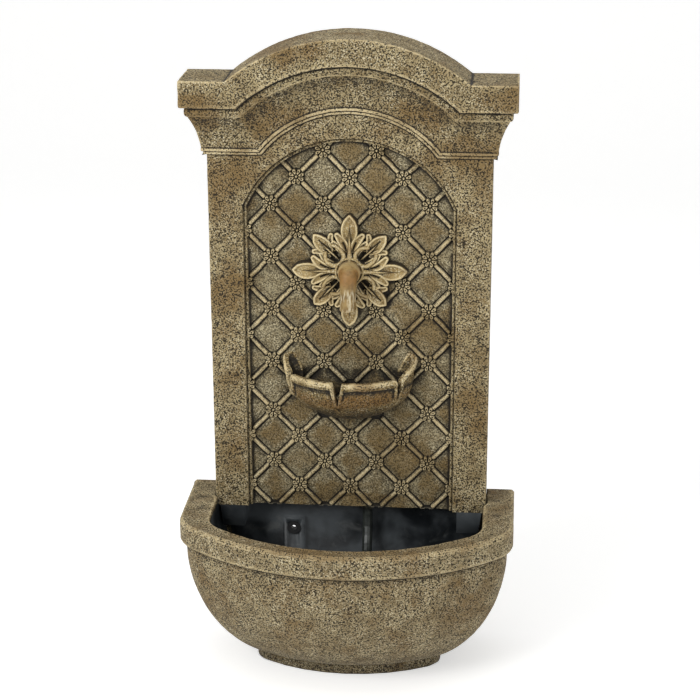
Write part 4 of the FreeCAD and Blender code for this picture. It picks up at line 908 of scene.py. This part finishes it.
def in_the_water(middle, normal):
    """Whether one of those faces looks into the basin."""
    x, out, z = middle
    across, outward, up = normal
    if outward > 0.9 and abs(out - BACK_WALL) < 1.0:
        return True
    if out < BACK_WALL - 0.4 or z < BASIN_FLOOR or z > PANEL_BOTTOM + 6:
        return False
    return outward > 0.3 or across * x < 0 or (up < 0 and abs(x) > SHOULDER_INNER) or abs(x) < CHANNEL_REACH


def basin():
    """The basin's outside with its rim and back, and its dark inside."""
    outside = Surface()
    levels = basin_levels()
    # Down the outside: painted shade at the foot's lower edge, in the corner where the body sits on the foot
    # and under the band, and a painted highlight on the band's lower edge
    tones = np.interp(levels[:, 0], [0, 10, 15, 22, 60, 150, 165, 171, 173, 176, 182, 200, 206],
                      [-0.5, -0.3, -0.9, -0.4, -0.1, 0.0, -0.05, -0.8, -0.1, 0.2, 0.0, 0.0, 0.1])
    outside.grid([at_height(basin_outline(half, basin_front(half), 0.0), z) for z, half in levels],
                 away=(0, 60, 120), tone=tones[:, None])

    rim_out = basin_outline(BASIN_HALF - RIM_EDGE, BASIN_DEPTH - RIM_EDGE, 0.0)
    rim_in = basin_outline(BASIN_HALF - RIM_SIDE_WIDTH, BASIN_DEPTH - RIM_FRONT_WIDTH, 0.0)
    in_seat = rim_in[:, 1] < PILASTER_OUT + 0.3
    rim_in[in_seat, 0] = np.sign(rim_in[in_seat, 0]) * (PILASTER_HALF + 0.3)
    inward = rim_in - rim_out
    inward = inward / np.linalg.norm(inward, axis=1)[:, None]
    crest = rim_in - inward * RIM_ROUND
    rows = [at_height(rim_out + (crest - rim_out) * share, RIM_Z - 0.5 * sin(pi * share))
            for share in spread(0, 1, 16)]
    outside.grid(rows, facing=(0, 0, 1), tone=0.05)
    # Painted highlight on the rim's rounded inner edge, then painted shade as it turns down into the basin
    rows = [at_height(crest + inward * RIM_ROUND * sin(a), RIM_Z - RIM_ROUND * (1 - cos(a)))
            for a in spread(0, pi / 2, 7)]
    rows.append(at_height(rim_in, RIM_Z - RIM_ROUND - 4.0))
    outside.grid(rows, facing=(0, 0, 1), tone=np.array([0.05, 0.3, 0.3, 0.1, -0.2, -0.5, -0.8, -1.0])[:, None])
    solid = frame["nodes"]["basin"].data
    outside.mesh_part(solid, lambda *face: basin_back(*face) and not in_the_water(*face))
    piece = outside.make("basin_shell", rough=0.35, rough_size=14.0)
    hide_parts("basin")

    inside = Surface()
    low_half, high_half = FOOT_HALF - FLOOR_INSET, BASIN_HALF - RIM_SIDE_WIDTH
    low_front, high_front = FOOT_DEPTH - FLOOR_INSET, BASIN_DEPTH - RIM_FRONT_WIDTH
    rows = []
    for share in spread(0, 1, 60) ** 1.7:
        swell = sqrt(1 - (1 - share) ** 2)
        half = low_half + (high_half - low_half) * swell
        front = low_front + (high_front - low_front) * swell
        z = BASIN_FLOOR + share * (RIM_Z - RIM_ROUND - 2.0 - BASIN_FLOOR)
        rows.append(at_height(basin_outline(half, front, BACK_WALL), z))
    inside.grid(rows, facing=(0, 0, 1))
    inside.grid(closing(rows[0], np.array([0.0, BACK_WALL, BASIN_FLOOR]), 10), facing=(0, 0, 1))
    inside.mesh_part(solid, lambda *face: basin_back(*face) and in_the_water(*face))
    water_side = inside.make("basin_inside", rough=0.4, rough_size=16.0)
    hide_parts("basin")
    return piece, water_side


# Spill bowl


def spill_bowl():
    """The half-round bowl: a pale rolled rim, folded at three notches, and a leaf-like ear at each end."""
    surface = Surface()
    right = bow_front(BOWL_HALF, FIELD_OUT + BOWL_PROJECTION, BOWL_FRONT_RADIUS, BOWL_CORNER_RADIUS,
                      BOWL_SIDE_OUT, (2, 44, 70))
    turn_centre, turn_out = BOWL_HALF - EAR_TURN, BOWL_SIDE_OUT - EAR_TURN
    turn_in = [(turn_centre + EAR_TURN * cos(a), BOWL_SIDE_OUT - EAR_TURN * sin(a))
               for a in spread(0, pi / 2, 14)]
    along_wall = [(x, turn_out) for x in spread(turn_centre, EAR_INNER, 26)[1:]]
    top = whole_outline(np.concatenate([np.array(turn_in + along_wall)[::-1][:-1], right]))
    length = lengths_along(top)
    station = length[-1] / 2 - length
    tangent = np.gradient(top, axis=0)
    normal = np.stack([tangent[:, 1], -tangent[:, 0]], axis=-1)
    normal /= np.linalg.norm(normal, axis=1)[:, None]
    if normal[len(top) // 2, 1] < 0:
        normal = -normal

    # Each notch: its place along the rim from the middle, half its width at the top, and its depth
    notches = [(-12.0, 6.2, 31.0), (67.5, 4.2, 28.0), (-81.5, 4.0, 27.0)]
    waver = unevenness(np.stack([length, length * 0, length * 0], axis=-1), 9.0, 41)
    nominal = BOWL_RIM_Z + 0.6 * waver
    ear = np.interp(station, [-124, -121, -117, -112, -107, -101, -93, -86],
                    [0, 0.34, 0.68, 1, 0.92, 0.72, 0.35, 0])
    ear += np.interp(station, [72, 80, 91, 101, 108, 112, 116, 120, 124],
                     [0, 0.3, 0.52, 0.74, 0.96, 1, 0.72, 0.36, 0])
    in_ear = ear > 0.02
    rim = nominal + BOWL_EAR_HEIGHT * ear + 0.8 * waver * in_ear
    for place, half, depth in notches:
        rim = rim - depth * np.clip(1 - np.abs(station - place) / half, 0, 1)

    def round_strip(place, middle, half):
        """A rounded strip's height across it, from 0 to 1."""
        return np.clip(1 - ((place - middle) / half) ** 2, 0, 1) ** 0.5

    def fold(z):
        """How far the folded edge stands proud at each station of a row, from 0 to 1."""
        below = nominal - z
        stand = round_strip(below, 3.8, 4.6) * (ear < 0.05)
        for place, half, depth in notches:
            edge = half * np.clip(1 - below / depth, 0, 1)
            gap = np.abs(station - place) - edge
            stand = np.maximum(stand, round_strip(gap, 1.8, 2.2) * ease((depth + 3.0 - below) / 4.0))
        return np.maximum(stand, round_strip(rim - z, 2.2, 3.0) * in_ear)

    def row_at(drop, inset):
        """One row, a drop below the local rim as a share of the way to the bottom, and its tone."""
        z = rim - drop * (rim - (BOWL_RIM_Z - BOWL_DEPTH * BOWL_LOW_SHARE))
        share = np.clip((BOWL_RIM_Z - z) / BOWL_DEPTH, 0, BOWL_LOW_SHARE)
        size = np.sqrt(1 - share ** 2)
        outline = np.stack([top[:, 0] * size, BOWL_BACK + (top[:, 1] - BOWL_BACK) * size], axis=-1)
        above = np.clip(z - BOWL_RIM_Z, 0, 30)
        lean = 0.05 * above + 0.003 * above ** 2
        folded = fold(z)
        edge = ease((4.6 - (rim - z)) / 1.6)
        if inset:
            grow = lean - (inset - 2.0 * ease(above / 12.0))
            # Painted shade inside the bowl; on the ears' inner faces painted light, stronger on the right ear
            # than the left, and a painted highlight on their edges
            ear_painted_light = np.where(station > 0, 0.6, 0.1)
            tone = np.where(in_ear, -0.85 + ear_painted_light * ease(above / 8.0) + 0.9 * edge, -0.85)
        else:
            belly = 2.2 * np.exp(-((share - 0.48) / 0.2) ** 2)
            grow = lean + belly + BOWL_LIP * folded
            # Darker towards the bottom and under the lip, as painted shade; the folded collar and strips are
            # pale, and paler at the top edge as painted highlight
            shade_under_lip = np.exp(-((BOWL_RIM_Z - z - 11.0) / 3.0) ** 2)
            tone = -0.2 - 0.6 * ease((share - 0.4) / 0.45) - 0.6 * shade_under_lip
            tone = np.where(folded > 0.3, 0.12 + 0.45 * waver + 0.5 * edge, tone)
        outline = outline + normal * grow[:, None]
        outline[:, 1] = np.maximum(outline[:, 1], BOWL_BACK)
        return at_height(outline, z), tone

    drops = np.concatenate([spread(0, 0.5, 60), spread(0.5, 1, 34)[1:]])
    outer, outer_tone = map(np.array, zip(*[row_at(d, 0.0) for d in drops]))
    inner, inner_tone = map(np.array, zip(*[row_at(d, BOWL_WALL) for d in drops[:78]]))
    surface.grid(outer, away=(0, FIELD_OUT, BOWL_RIM_Z + 30), tone=outer_tone)
    surface.grid(inner, facing=(0, 0, 1), tone=inner_tone)
    lip = between(outer[0], inner[0], 7)
    lip[1:-1, :, 2] += 0.9
    # Painted highlight on the lip's outer edge, turning to painted shade as it goes in
    lip_tone = np.array([0.5, 0.5, 0.4, 0.2, 0.0, -0.2, -0.5])[:, None] + 0.4 * waver[None, :]
    surface.grid(lip, facing=(0, 0, 1), tone=lip_tone)
    # The bottoms are painted dark, as shade under and inside the bowl
    for row, facing, tone in ((outer[-1], (0, 0, -1), -0.6), (inner[-1], (0, 0, 1), -0.7)):
        surface.grid(closing(row, row.mean(axis=0), 8), facing=facing, tone=tone)
    piece = surface.make("spill_bowl_shell", rough=0.3, rough_size=6.0)
    face_outwards(piece)
    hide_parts("spill_bowl")
    return piece


# Materials


def colour(shown, share=1.0):
    """A shader colour from the 0 to 255 numbers it shows as, or from a share of them."""
    parts = [c * share / 255 for c in shown]
    return [c / 12.92 if c <= 0.04045 else ((c + 0.055) / 1.055) ** 2.4 for c in parts] + [1.0]


def put(tree, value, socket):
    """Links an output to a socket, or sets the socket's value."""
    if isinstance(value, bpy.types.NodeSocket):
        tree.links.new(value, socket)
    else:
        socket.default_value = value


def add_node(tree, kind, inputs=(), **settings):
    """Adds a node with its settings, and puts a value or a link in each of its inputs."""
    node = tree.nodes.new(kind)
    for name, value in settings.items():
        setattr(node, name, value)
    for name, value in dict(inputs).items():
        put(tree, value, node.inputs[name])
    return node


class Nodes:
    """A small helper that adds shader nodes and links them."""

    def __init__(self, name):
        self.material = bpy.data.materials.new(name)
        self.material.use_nodes = True
        self.tree = self.material.node_tree
        self.shader = self.tree.nodes["Principled BSDF"]
        self.place = self.add("ShaderNodeTexCoord").outputs["Object"]

    def add(self, kind, inputs=(), **settings):
        return add_node(self.tree, kind, inputs, **settings)

    def set(self, **values):
        """Sets or links the shader's own sockets, named with underscores for spaces."""
        for name, value in values.items():
            put(self.tree, value, self.shader.inputs[name.replace("_", " ")])

    def stored(self, name):
        """A value kept at the mesh's points."""
        return self.add("ShaderNodeAttribute", attribute_name=name).outputs["Fac"]

    def axis(self, name):
        """One coordinate of the place, in metres."""
        return self.add("ShaderNodeSeparateXYZ", {0: self.place}).outputs[name]

    def stretched(self, *scales):
        """The place with each axis scaled."""
        return self.add("ShaderNodeVectorMath", {0: self.place, 1: scales}, operation="MULTIPLY").outputs[0]

    def noise(self, scale, detail=3.0, roughness=0.55, distortion=0.0, place=None):
        return self.add("ShaderNodeTexNoise", {
            "Vector": place or self.place, "Scale": scale, "Detail": detail, "Roughness": roughness,
            "Distortion": distortion}).outputs["Fac"]

    def cells(self, scale):
        return self.add("ShaderNodeTexVoronoi", {"Vector": self.place, "Scale": scale}).outputs["Distance"]

    def math(self, operation, *values):
        return self.add("ShaderNodeMath", enumerate(values), operation=operation).outputs[0]

    def ramp(self, value, low, high, to_low=0.0, to_high=1.0):
        """A smooth change between two values of the input."""
        return self.add("ShaderNodeMapRange", {
            "Value": value, "From Min": low, "From Max": high, "To Min": to_low, "To Max": to_high},
            interpolation_type="SMOOTHSTEP").outputs["Result"]

    def mix(self, share, first, second):
        return self.add("ShaderNodeMix", {"Factor": share, "A": first, "B": second},
                        data_type="RGBA").outputs["Result"]

    def over(self, base, paint, value, *bounds):
        """Lays a paint over a base, by a ramp of a value."""
        return self.mix(self.ramp(value, *bounds), base, paint)

    def bump(self, height, strength, distance):
        return self.add("ShaderNodeBump", {
            "Height": height, "Strength": strength, "Distance": distance}).outputs["Normal"]

    def crevice(self, distance):
        """How open a spot is, from 0 in a crevice to 1 in the open."""
        return self.add("ShaderNodeAmbientOcclusion", {"Distance": distance}, samples=8).outputs["AO"]


def cast_stone(name, tan, pale, brown, pits=0.95, grain=540.0, rubbed_and_highlight=(208, 188, 144), wash_and_shade=(28, 25, 21)):
    """Cast resin with a stone face: tan, brown and grey clouds, pale grains, dark pits, pale worn edges with
    painted highlight, and dark washed hollows with painted shade.
    """
    n = Nodes(name)
    tone = n.stored("tone")
    cloud, drift, haze = (n.noise(scale, 3.0, 0.6) for scale in (24.0, 70.0, 36.0))
    grit, speck = (n.noise(scale, 1.0, 0.5, 0.3) for scale in (grain, grain * 1.17))
    base = n.over(colour(tan), colour(pale), drift, 0.36, 0.64)
    # Pale where the tone is high: a pale worn finish and painted highlight
    base = n.over(base, colour(rubbed_and_highlight), tone, 0.15, 0.85, 0.0, 0.85)
    rubbing = n.math("MULTIPLY", n.ramp(speck, 0.52, 0.62), n.ramp(haze, 0.38, 0.62, 0.3, 0.85))
    base = n.mix(rubbing, base, colour((222, 210, 176)))
    warmth = n.math("MULTIPLY_ADD", n.math("SUBTRACT", cloud, 0.46), 2.6, n.stored("warmth"))
    base = n.over(base, colour(brown), warmth, 0.0, 0.9, 0.0, 0.7)

    # Pits open where the grit falls below an edge that drifts, and that a dark tone raises
    edge = n.math("MULTIPLY_ADD", n.math("SUBTRACT", drift, 0.5), 0.12, 0.455)
    edge = n.math("MULTIPLY_ADD", tone, -0.07, edge)
    pit = n.ramp(n.math("SUBTRACT", edge, grit), -0.012, 0.022)
    base = n.mix(n.math("MULTIPLY", pit, pits), base, colour((36, 29, 17)))
    # Dark where the tone is low, a dark washed finish and painted shade, and painted shade in crevices
    base = n.over(base, colour(wash_and_shade), tone, -0.12, -0.95, 0.0, 0.94)
    base = n.over(base, colour(wash_and_shade), n.crevice(0.025), 0.2, 0.8, 0.6, 0.0)
    height = n.math("SUBTRACT", n.math("MULTIPLY", speck, 0.6), pit)
    n.set(Base_Color=base, Roughness=0.78, Specular_IOR_Level=0.3, Normal=n.bump(height, 0.9, 0.0009 * pits))
    return n.material


def dark_coat(name):
    """The basin's inside: a blue-black sealing coat, unevenly brush-marked, with pale patches and streaks that
    are partly its own mottling and partly painted sheen.
    """
    n = Nodes(name)
    patches = n.noise(16.0, 3.0, 0.6, 0.4)
    brushing_and_sheen = n.noise(38.0, 4.0, 0.6, 0.5)
    # Pale patches and brush streaks: partly the coat's uneven brushing and partly painted sheen
    base = n.over(colour((20, 24, 27)), colour((76, 81, 84)), patches, 0.36, 0.62)
    base = n.over(base, colour((108, 110, 108)), brushing_and_sheen, 0.55, 0.75, 0.0, 0.5)
    height = n.math("MULTIPLY_ADD", n.noise(300.0, 3.0), 0.25, brushing_and_sheen)
    gloss = n.ramp(patches, 0.3, 0.7, 0.42, 0.68)
    n.set(Base_Color=base, Roughness=gloss, Normal=n.bump(height, 0.5, 0.0008))
    return n.material


def aged_bronze(name):
    """The spout: smooth golden brown, worn orange on the bend, with pale streaks down the nozzle painted in as
    its highlights.
    """
    n = Nodes(name)
    tone = n.stored("tone")
    z = n.axis("Z")
    cloud = n.noise(120.0, 3.0, 0.6)
    streak = n.noise(1.0, 3.0, 0.6, place=n.stretched(420.0, 420.0, 55.0))
    bend = ROSETTE_Z * MM
    base = n.over(colour((122, 98, 58)), colour((158, 132, 84)), cloud, 0.35, 0.65)
    worn = n.math("MULTIPLY", n.ramp(z, bend - 0.016, bend - 0.004), n.ramp(z, bend + 0.010, bend + 0.004))
    base = n.mix(n.math("MULTIPLY", worn, n.ramp(cloud, 0.3, 0.6, 0.25, 0.65)), base, colour((138, 92, 40)))
    # Pale vertical streaks down the nozzle, painted in as its highlights
    highlight_streaks = n.math("MULTIPLY", n.ramp(z, bend - 0.012, bend - 0.020), n.ramp(streak, 0.5, 0.6))
    base = n.mix(n.math("MULTIPLY", highlight_streaks, 0.8), base, colour((220, 208, 176)))
    # Pale where the tone is high, as painted highlight; dark where it is low and in crevices, as painted shade
    base = n.over(base, colour((212, 190, 140)), tone, 0.4, 0.9, 0.0, 0.6)
    base = n.over(base, colour((22, 18, 13)), tone, -0.1, -0.8, 0.0, 0.95)
    base = n.over(base, colour((52, 40, 24)), n.crevice(0.012), 0.3, 0.85, 0.75, 0.0)
    height = n.math("MULTIPLY_ADD", streak, 0.6, n.noise(700.0, 2.0))
    n.set(Base_Color=base, Roughness=n.ramp(cloud, 0.3, 0.7, 0.42, 0.6), Specular_IOR_Level=0.35,
          Normal=n.bump(height, 0.35, 0.0002))
    return n.material


def moulded(name, tone, roughness, metallic=0.0, grain=900.0, depth=0.00003, dust=0.25):
    """A moulded, turned or plated finish: a fine grain, uneven gloss, pale dust in patches, and painted shade
    in its hollows.
    """
    n = Nodes(name)
    cloud = n.noise(70.0, 3.0, 0.6)
    worn = n.noise(260.0, 3.0, 0.7)
    base = n.over(colour(tone, 0.82), colour(tone), cloud, 0.35, 0.65)
    base = n.over(base, colour([c * 0.7 + 52 for c in tone]), worn, 0.6, 0.72, 0.0, dust)
    # Painted shade in hollows, from ambient occlusion
    base = n.over(base, colour(tone, 0.35), n.crevice(0.006), 0.2, 0.8, 0.55, 0.0)
    gloss = n.ramp(cloud, 0.3, 0.7, roughness * 0.8, min(1.0, roughness * 1.2))
    n.set(Base_Color=base, Metallic=metallic, Roughness=gloss, Normal=n.bump(n.noise(grain, 2.0), 0.5, depth))
    return n.material


# How each moulded, turned or plated material looks
MOULDED = {
    "black_rubber": dict(tone=(34, 34, 35), roughness=0.7, grain=1400.0, depth=0.00005),
    "brass_nut": dict(tone=(196, 158, 86), roughness=0.34, metallic=1.0, grain=2200.0, dust=0.1),
    "grey_plastic": dict(tone=(78, 80, 82), roughness=0.5),
    "zinc_steel": dict(tone=(186, 188, 190), roughness=0.32, metallic=1.0, grain=1800.0, dust=0.15),
    "pump_plastic": dict(tone=(42, 44, 47), roughness=0.42),
    "impeller_plastic": dict(tone=(222, 220, 212), roughness=0.4, dust=0.1),
    "dial_plastic": dict(tone=(66, 92, 128), roughness=0.42),
    "ferrite": dict(tone=(54, 52, 54), roughness=0.55, grain=1600.0, depth=0.00006),
    "white_ceramic": dict(tone=(236, 234, 228), roughness=0.25, dust=0.05),
}


def layered(name, tone, gap, pitch, roughness):
    """Layers of metal along the Y axis, such as stacked sheets or turns of wire."""
    n = Nodes(name)
    wave = n.math("PINGPONG", n.math("MULTIPLY", n.axis("Y"), 1 / pitch), 0.5)
    cloud = n.noise(110.0, 3.0, 0.6)
    base = n.over(colour(tone, 0.8), colour(tone), cloud, 0.35, 0.65)
    base = n.over(base, colour(gap), wave, 0.14, 0.03)
    n.set(Base_Color=base, Metallic=1.0, Roughness=roughness,
          Normal=n.bump(n.ramp(wave, 0.0, 0.3), 0.6, pitch * 0.3))
    return n.material


def foam(name, tone):
    """Open-cell foam."""
    n = Nodes(name)
    struts = n.ramp(n.cells(620.0), 0.15, 0.55)
    # The pores between the struts are painted dark, as shade in them
    n.set(Base_Color=n.mix(struts, colour(tone, 0.25), colour(tone)), Roughness=0.95,
          Normal=n.bump(struts, 0.9, 0.0007))
    return n.material


def pump_tube(name):
    """Dark flexible tube with overspray of the stone colour just under the panel."""
    n = Nodes(name)
    cloud = n.noise(180.0, 3.0, 0.6)
    base = n.over(colour((30, 33, 31)), colour((52, 56, 52)), cloud, 0.35, 0.65)
    edge = n.math("MULTIPLY_ADD", n.math("SUBTRACT", cloud, 0.5), 0.02, n.axis("Z"))
    sprayed = n.ramp(edge, (PANEL_BOTTOM - 14) * MM, (PANEL_BOTTOM - 4) * MM, 0.0, 0.85)
    base = n.mix(sprayed, base, colour((112, 108, 84)))
    n.set(Base_Color=base, Roughness=n.ramp(sprayed, 0.0, 0.8, 0.32, 0.75), Normal=n.bump(cloud, 0.3, 0.0002))
    return n.material


# How far in millimetres a spot stands out or sinks, near and wide, where its painted highlight and painted
# shade, with the worn finish, are full
NEAR_STAND = 0.12
WIDE_STAND = 0.6


def tile_warmth(x, z):
    """How warm each tile of the trellis is: golden brown in its middle, by a different share in each."""
    steps = [step / 2 + 0.5 for step in trellis_steps(x, z)]
    column, row = (np.floor(step).astype(int) % 40 for step in steps)
    share = np.random.default_rng(17).uniform(-0.1, 1.1, (40, 40))[column, row]
    from_rib = np.minimum(*(np.abs(step - np.round(step)) for step in steps))
    return share * ease((from_rib - 0.08) / 0.3)


def relief_light_and_stains(piece, fine=3, broad=22, gain=1.0):
    """Adds to each spot's tone how far it stands out from its surroundings, near and wide, as painted
    highlight where it stands out and painted shade where it sinks, together with a pale worn and dark washed
    finish, and stores its warmth.
    """
    mesh = piece.data
    place, normal = places_of(mesh)
    count = len(place)
    ends = np.empty(len(mesh.edges) * 2, int)
    mesh.edges.foreach_get("vertices", ends)
    ends = ends.reshape(-1, 2)
    both = np.concatenate([ends, ends[:, ::-1]])
    neighbours = np.maximum(np.bincount(both[:, 0], minlength=count), 1).astype(float)
    smooth = place.copy()
    stands = []
    for round_number in range(1, broad + 1):
        total = np.stack([np.bincount(both[:, 0], weights=smooth[both[:, 1], i], minlength=count)
                          for i in range(3)], axis=-1)
        smooth = 0.5 * smooth + 0.5 * total / neighbours[:, None]
        if round_number in (fine, broad):
            stands.append(np.einsum("ij,ij->i", place - smooth, normal) / MM)
    near, wide = stands
    tone = np.empty(count)
    mesh.attributes["tone"].data.foreach_get("value", tone)
    # Painted highlight where the spot stands out and painted shade where it sinks, with the worn finish
    relief_light_and_wear = 0.5 * np.clip(near / NEAR_STAND, -1, 1) + 0.55 * np.clip(wide / WIDE_STAND, -1, 0.15)
    tone = tone + gain * relief_light_and_wear
    mesh.attributes["tone"].data.foreach_set("value", np.clip(tone, -1, 1).astype(np.float32))
    warmth = np.zeros(count)
    x, z = place[:, 0] / MM, place[:, 2] / MM
    for stain_x, stain_z, half_x, half_z, strength in STAINS:
        spot = strength * np.exp(-((x - stain_x) / half_x) ** 2 - ((z - stain_z) / half_z) ** 2)
        warmth = np.maximum(warmth, spot)
    out = (WALL_Y - place[:, 1]) / MM
    in_field = (np.abs(x) < RECESS_HALF) & (z > PANEL_BOTTOM) & (out < FIELD_OUT + 2.0) & (out > FIELD_BACK)
    warmth = warmth + in_field * tile_warmth(x, z)
    mesh.attributes.new("warmth", "FLOAT", "POINT").data.foreach_set("value", warmth.astype(np.float32))


def dress(piece, material):
    """Gives a piece its one material."""
    piece.data.materials.clear()
    piece.data.materials.append(material)


# Stage


def seen_directly(tree, lighting, seen):
    """One strength for what lights the object, and another for what the camera, gloss and glass show."""
    rays = add_node(tree, "ShaderNodeLightPath").outputs
    share = rays["Is Camera Ray"]
    for name in ("Is Glossy Ray", "Is Transmission Ray"):
        share = add_node(tree, "ShaderNodeMath", {0: share, 1: rays[name]}, operation="MAXIMUM").outputs[0]
    strength = add_node(tree, "ShaderNodeMapRange", {"Value": share, "To Min": lighting, "To Max": seen})
    return strength.outputs["Result"]


def studio():
    """A pale floor that curves up behind, a plain white world, and three soft lamps."""
    scene = bpy.context.scene
    floor_mesh = bpy.data.meshes.new("floor")
    reach, back, rise, bend = 6.0, 2.4, 4.0, 1.6
    profile = [(-reach, 0.0), (back, 0.0)]
    profile += [(back + bend * sin(a), bend - bend * cos(a)) for a in spread(0, pi / 2, 24)[1:]]
    profile.append((back + bend, rise))
    points = [(x, y, z) for x in (-reach, reach) for y, z in profile]
    row = len(profile)
    faces = [(i, i + 1, row + i + 1, row + i) for i in range(row - 1)]
    floor_mesh.from_pydata(points, [], faces)
    floor_mesh.shade_smooth()
    floor = bpy.data.objects.new("floor", floor_mesh)
    scene.collection.objects.link(floor)
    n = Nodes("studio_floor")
    n.set(Base_Color=colour((243, 243, 242)), Roughness=0.9, Emission_Color=colour((255, 255, 255)),
          Emission_Strength=seen_directly(n.tree, 0.0, 0.46))
    dress(floor, n.material)

    world = bpy.data.worlds.new("studio")
    scene.world = world
    world.use_nodes = True
    background = world.node_tree.nodes["Background"]
    background.inputs["Color"].default_value = (1, 1, 1, 1)
    world.node_tree.links.new(seen_directly(world.node_tree, 0.42, 1.0), background.inputs["Strength"])

    def lamp(name, place, target, size, power):
        light = bpy.data.lights.new(name, "AREA")
        light.shape = "RECTANGLE"
        light.size, light.size_y = size
        light.energy = power
        thing = bpy.data.objects.new(name, light)
        thing.location = place
        thing.rotation_euler = (Vector(target) - Vector(place)).to_track_quat("-Z", "Y").to_euler()
        scene.collection.objects.link(thing)

    middle = (0.0, 0.0, 0.42)
    lamp("key", (-1.7, -1.9, 1.9), middle, (1.2, 1.2), 43)
    lamp("fill", (1.9, -1.7, 1.0), middle, (1.6, 1.6), 13)
    lamp("top", (0.0, -0.4, 2.6), middle, (1.6, 1.2), 12)


def photo_camera():
    """The camera at the photograph's place, for an image of 700 by 700."""
    place = Vector((0.19469, WALL_Y - 2.25694, 1.18785))
    yaw, pitch, roll = 0.08767, 0.33977, -0.00277
    focal_pixels, image_pixels, sensor = 1937.99, 700, 36.0
    forward = Vector((-sin(yaw) * cos(pitch), cos(yaw) * cos(pitch), -sin(pitch)))
    right = Vector((cos(yaw), sin(yaw), 0))
    up = right.cross(forward)
    turned_right = cos(roll) * right + sin(roll) * up
    turned_up = -sin(roll) * right + cos(roll) * up
    camera_data = bpy.data.cameras.new("camera")
    camera_data.sensor_width = sensor
    camera_data.lens = focal_pixels / image_pixels * sensor
    camera = bpy.data.objects.new("camera", camera_data)
    turn = Matrix((turned_right, turned_up, -forward)).transposed()
    camera.matrix_world = Matrix.Translation(place) @ turn.to_4x4()
    bpy.context.scene.collection.objects.link(camera)
    bpy.context.scene.camera = camera


def main():
    """Builds the pieces, paints highlight and shade from their relief and brown stains into their tones, and
    gives every piece its material.
    """
    photo_camera()
    studio()
    tiles = cast_stone("trellis_stone", (127, 114, 84), (158, 146, 114), (116, 92, 48), pits=0.7, grain=600.0)
    stone = cast_stone("cast_stone", (132, 115, 80), (164, 147, 108), (118, 91, 48))
    basin_stone = cast_stone("cast_stone_basin", (130, 114, 82), (160, 144, 108), (118, 92, 52))
    leaves = cast_stone("gilded_stone", (144, 122, 78), (172, 149, 100), (128, 94, 50), pits=0.2,
                        rubbed_and_highlight=(232, 212, 164), wash_and_shade=(24, 19, 12))
    bowl_stone = cast_stone("gilded_bowl", (120, 100, 60), (150, 128, 82), (122, 86, 40), pits=0.8,
                            rubbed_and_highlight=(214, 194, 148))
    unpainted = cast_stone("unpainted_back", (118, 112, 98), (140, 133, 116), (104, 94, 74), pits=0.4)
    panel, ground, back = wall_panel()
    shell, water_side = basin()
    # Pieces whose tones get painted highlight and shade from their relief, and brown stains, with the gain of
    # each
    shaded_and_stained = ((panel, stone, 1.0), (ground, tiles, 1.0), (flowers(), tiles, 1.0), (rosette(), leaves, 0.45),
            (spill_bowl(), bowl_stone, 0.9), (shell, basin_stone, 1.0),
            (spout(), aged_bronze("aged_bronze"), 0.8))
    for piece, material, gain in shaded_and_stained:
        relief_light_and_stains(piece, gain=gain)
        dress(piece, material)
    dress(back, unpainted)
    dress(water_side, dark_coat("dark_coat"))
    finishes = {name: moulded(name, **look) for name, look in MOULDED.items()}
    finishes["tube_plastic"] = pump_tube("tube_plastic")
    finishes["sponge_foam"] = foam("sponge_foam", (58, 62, 66))
    for name, *look in (("lamination_steel", (132, 132, 136), (40, 38, 36), 0.0010, 0.4),
                        ("copper_wire", (178, 98, 52), (70, 32, 16), 0.0007, 0.35)):
        finishes[name] = layered(name, *look)
    slots = {part["node"]: part["material_slot"] for part in frame["record"]["subparts"]}
    for name, node in frame["nodes"].items():
        if not node.hide_render:
            dress(node, finishes[slots[name]])


bpy.context.scene.view_settings.view_transform = "Standard"
main()
